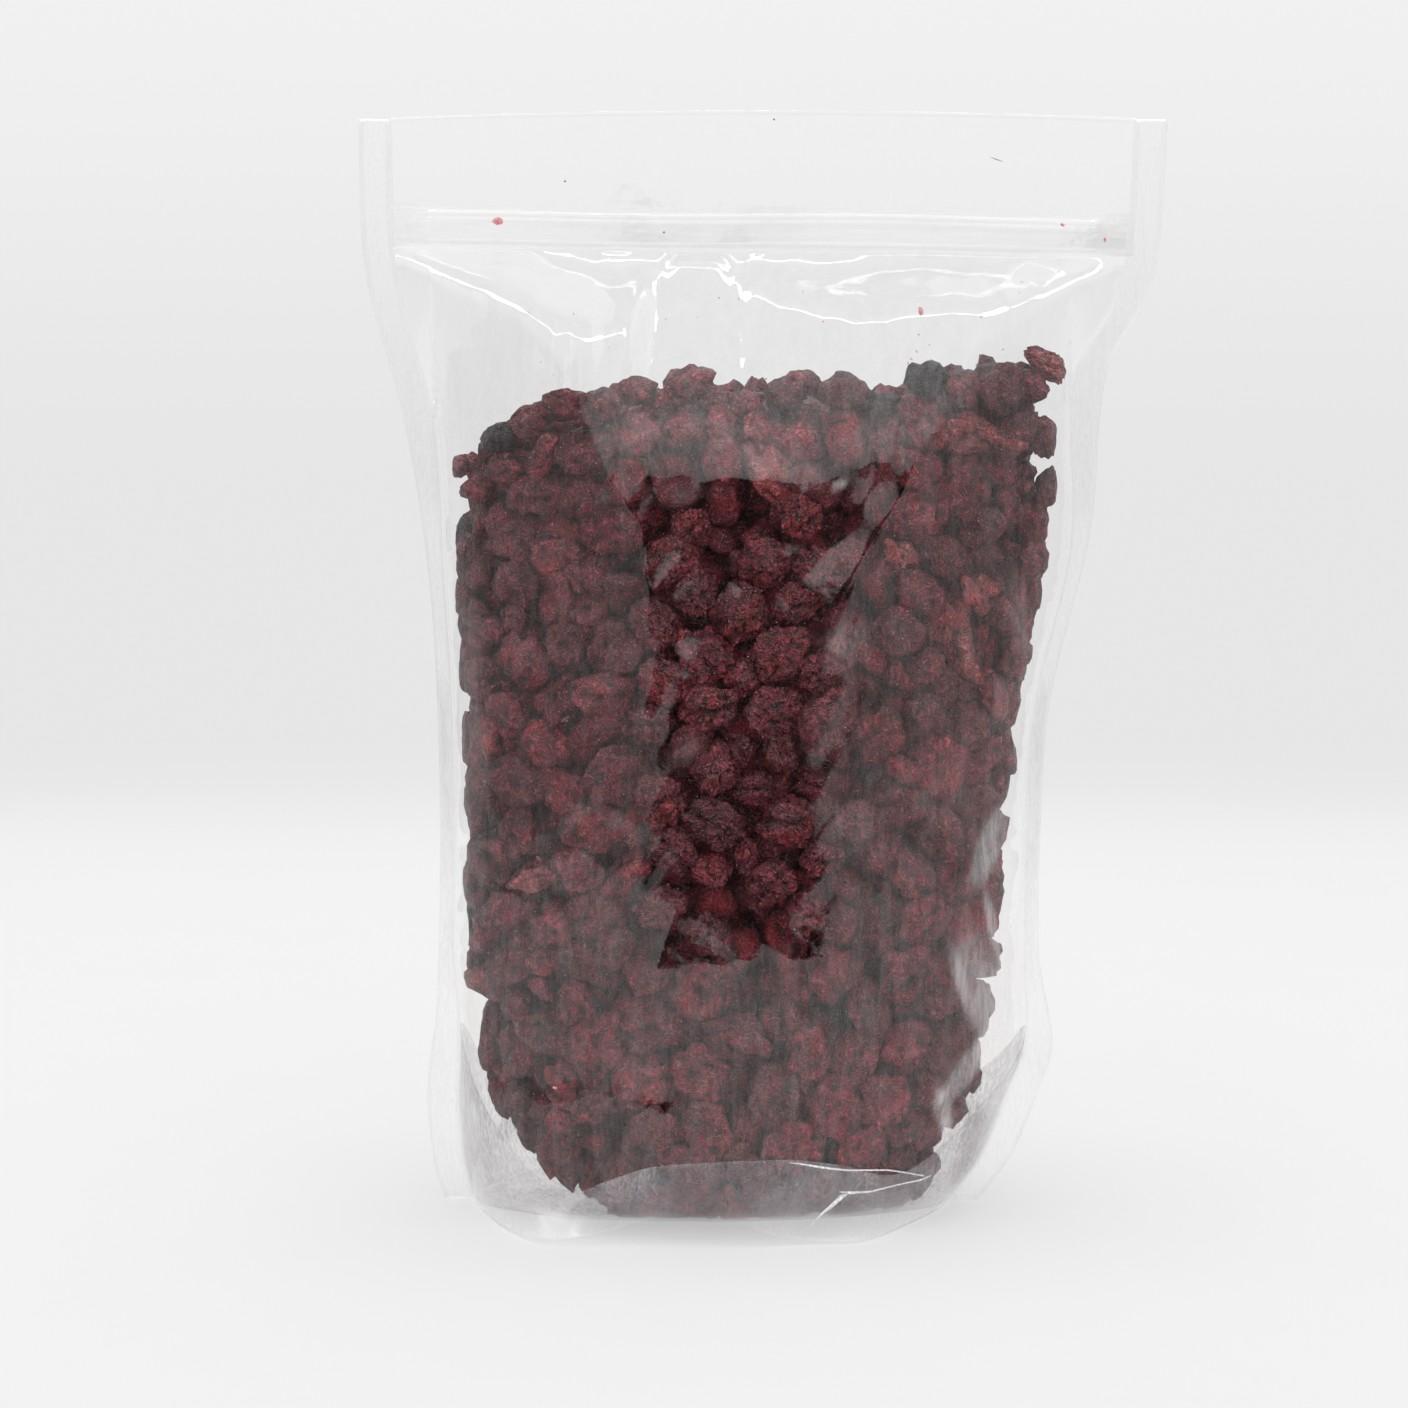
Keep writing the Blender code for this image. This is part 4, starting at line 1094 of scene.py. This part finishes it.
def place_crumbs(name, crumbs, material, more):
    """The listed crumbs of the front, and some more of the same on both panels above the fruit."""
    listed = np.array(crumbs)
    x = np.concatenate((listed[:, 0] / 1000, draw.uniform(-0.070, 0.075, more)))
    z = np.concatenate((listed[:, 1] / 1000, draw.uniform(0.206, 0.236, more)))
    half = np.concatenate((listed[:, 2], draw.uniform(0.12, 0.30, more))) / 1000
    wide = np.concatenate((listed[:, 3], draw.uniform(0.08, 0.20, more))) / 1000
    place = np.arange(len(x)) - len(listed)
    y = np.where((place < 0) | (place % 2 == 0), on_panel(-1, x, z, 0.0006), on_panel(1, x, z, 0.0006))
    spins = np.radians(np.concatenate((listed[:, 4], draw.uniform(0, 180, more))))
    turns = [(math.pi / 2, float(spin), 0) for spin in spins]
    sizes = np.stack((half / BERRY_LONG, wide / BERRY_WIDE, wide * 0.35 / BERRY_THICK), axis=-1)
    shapes = [berry_shape(f"{name}_{k}", 101 + k, bend=0.3, fine=2) for k in range(3)]
    scatter(name, shapes, material, np.stack((x, y, z), axis=-1), turns, sizes)


pale_flake = flake_skin("pale_flake", (0.74, 0.24, 0.26), (0.92, 0.48, 0.50))
dark_flake = flake_skin("dark_flake", (0.10, 0.010, 0.014), (0.24, 0.05, 0.05))
place_crumbs("pale_crumbs", PALE_CRUMBS, pale_flake, 16)
place_crumbs("dark_crumbs", DARK_CRUMBS, dark_flake, 10)

n = Nodes(bpy.data.materials.new("fruit_dust"))
pale_red = n.blend(n.grain(0.01, 2.0), (0.55, 0.42, 0.42), (0.85, 0.80, 0.80))
powder = n.finish(n.make("BsdfDiffuse", {"Color": pale_red}))
DUST_COUNT = 1100
x, z = draw.uniform(-0.068, 0.066, DUST_COUNT), draw.uniform(0.026, 0.214, DUST_COUNT)
y = np.where(np.arange(DUST_COUNT) % 3 == 0, on_panel(1, x, z, 0.0003), on_panel(-1, x, z, 0.0003))
grit = draw.uniform(0.06, 0.17, (DUST_COUNT, 1)) / 1000 * draw.uniform(0.6, 1.0, (DUST_COUNT, 3))
scatter("dust", [berry_shape(f"dust_{k}", 111 + k, fine=1) for k in range(2)], powder,
        np.stack((x, y, z), axis=-1), draw.uniform(0, 6, (DUST_COUNT, 3)), grit / BERRY_WIDE)

# THE STUDIO
# A plain pale table and pale surroundings. The room in front of the pouch is dimmer than what stands behind
# it, and a dark card at the camera leaves the middle of the front panel free of reflections.
CARD_LEFT = -0.150
CARD_RIGHT = 0.140
CARD_TOP = 0.246
CARD_AWAY = -0.30
EYE = (0.0, -1.0893, 0.2921)
LOOKS_AT = (-0.0145, 0.0, 0.1285)
scene = bpy.context.scene
scene.view_settings.view_transform = "Standard"
scene.cycles.transparent_max_bounces = 20
scene.cycles.max_bounces = 8


def table_white():
    """Pale table lit a little from within, which fades out towards its edge."""
    n = Nodes(bpy.data.materials.new("table_white"))
    reach = n.maths("MAXIMUM", n.maths("ABSOLUTE", n.axis("X")), n.maths("ABSOLUTE", n.axis("Y")))
    pale = n.blend(n.grain(0.05, 3.0), (0.443, 0.443, 0.443), (0.455, 0.455, 0.455))
    lit_top = n.make("AddShader", {0: n.make("BsdfDiffuse", {"Color": pale}),
                                   1: n.make("Emission", {"Strength": 0.45})})
    return n.finish(n.mix(n.spread(reach, 0.40, 0.66, 0.0, 1.0), lit_top, n.make("BsdfTransparent", {})))


def card_black():
    """Black card with a torn-looking soft rim."""
    n = Nodes(bpy.data.materials.new("card_black"))
    rim = n.plus(n.axis("Z"), 0.020)
    for a, b in ((n.axis("X"), CARD_LEFT), (CARD_RIGHT, n.axis("X")), (CARD_TOP, n.axis("Z"))):
        rim = n.maths("MINIMUM", rim, n.maths("SUBTRACT", a, b))
    rim = n.plus(rim, n.times(n.maths("SUBTRACT", n.grain(0.045, 3.0), 0.62), 0.16))
    black = n.make("BsdfDiffuse", {"Color": (0.004, 0.004, 0.004)})
    return n.finish(n.mix(n.spread(rim, -0.004, 0.022, 0.0, 1.0), n.make("BsdfTransparent", {}), black))


bm = bmesh.new()
bmesh.ops.create_grid(bm, x_segments=40, y_segments=40, size=0.9)
table = finish_mesh("table", bm, table_white())

corners = ((CARD_LEFT, 0.0), (CARD_RIGHT, 0.0), (CARD_RIGHT, CARD_TOP), (CARD_LEFT, CARD_TOP))
bm = bmesh.new()
bm.faces.new([bm.verts.new((x, CARD_AWAY, z)) for x, z in corners])
card = finish_mesh("dark_card", bm, card_black())
card.visible_camera = False
card.visible_diffuse = False
card.visible_shadow = False

room = Nodes(bpy.data.worlds.new("pale_room"), "OutputWorld", "Generated")
aside, behind, up = (room.axis(name) for name in "XYZ")


def room_light(strength):
    return room.make("Background", {"Color": (1.0, 1.0, 1.0), "Strength": strength})


def room_mix(share, a, b):
    """Mix of two strengths of light."""
    return room.make("Mix", {0: share, 2: a, 3: b})


backdrop = room.plus(room.spread(up, -0.10, 0.015, 0.795, 0.875), room.spread(up, -0.155, -0.19, 0.0, 0.08))
side_room = room.spread(aside, -0.7, 0.7, 0.42, 0.60)
front_room = room_mix(room.spread(room.maths("ABSOLUTE", aside), 0.15, 0.45, 0.0, 1.0), 0.92, side_room)
sides = room_mix(room.spread(behind, -0.15, 0.25, 0.0, 1.0), front_room, 0.82)
shine_on_film = room_mix(room.spread(up, 0.02, 0.55, 0.0, 1.0), sides, 1.25)
lit = room_light(room.spread(aside, -0.6, 0.6, 0.68, 0.84))
glossy = room.mix(room.make("LightPath", {}, "Is Glossy Ray"), lit, room_light(shine_on_film))
seen = room.mix(room.make("LightPath", {}, "Is Camera Ray"), glossy, room_light(backdrop))
scene.world = room.finish(seen)

for name, away, wide, deep, power in (("soft_light", 0.03, 1.0, 0.7, 6.3),
                                      ("strip_light", -0.25, 2.6, 0.20, 23.4)):
    lamp = bpy.data.lights.new(name, "AREA")
    lamp.shape = "RECTANGLE"
    lamp.size = wide
    lamp.size_y = deep
    lamp.energy = power
    light = bpy.data.objects.new(name, lamp)
    light.location = (-0.05, away, 1.45)
    light.visible_camera = False
    light.visible_glossy = name == "strip_light"
    light.visible_diffuse = name == "soft_light"
    scene.collection.objects.link(light)

lens = bpy.data.cameras.new("camera")
lens.lens = 111.8
lens.sensor_width = 36.0
camera = bpy.data.objects.new("camera", lens)
camera.location = EYE
camera.rotation_mode = "QUATERNION"
camera.rotation_quaternion = (Vector(EYE) - Vector(LOOKS_AT)).to_track_quat("Z", "Y")
scene.collection.objects.link(camera)
scene.camera = camera
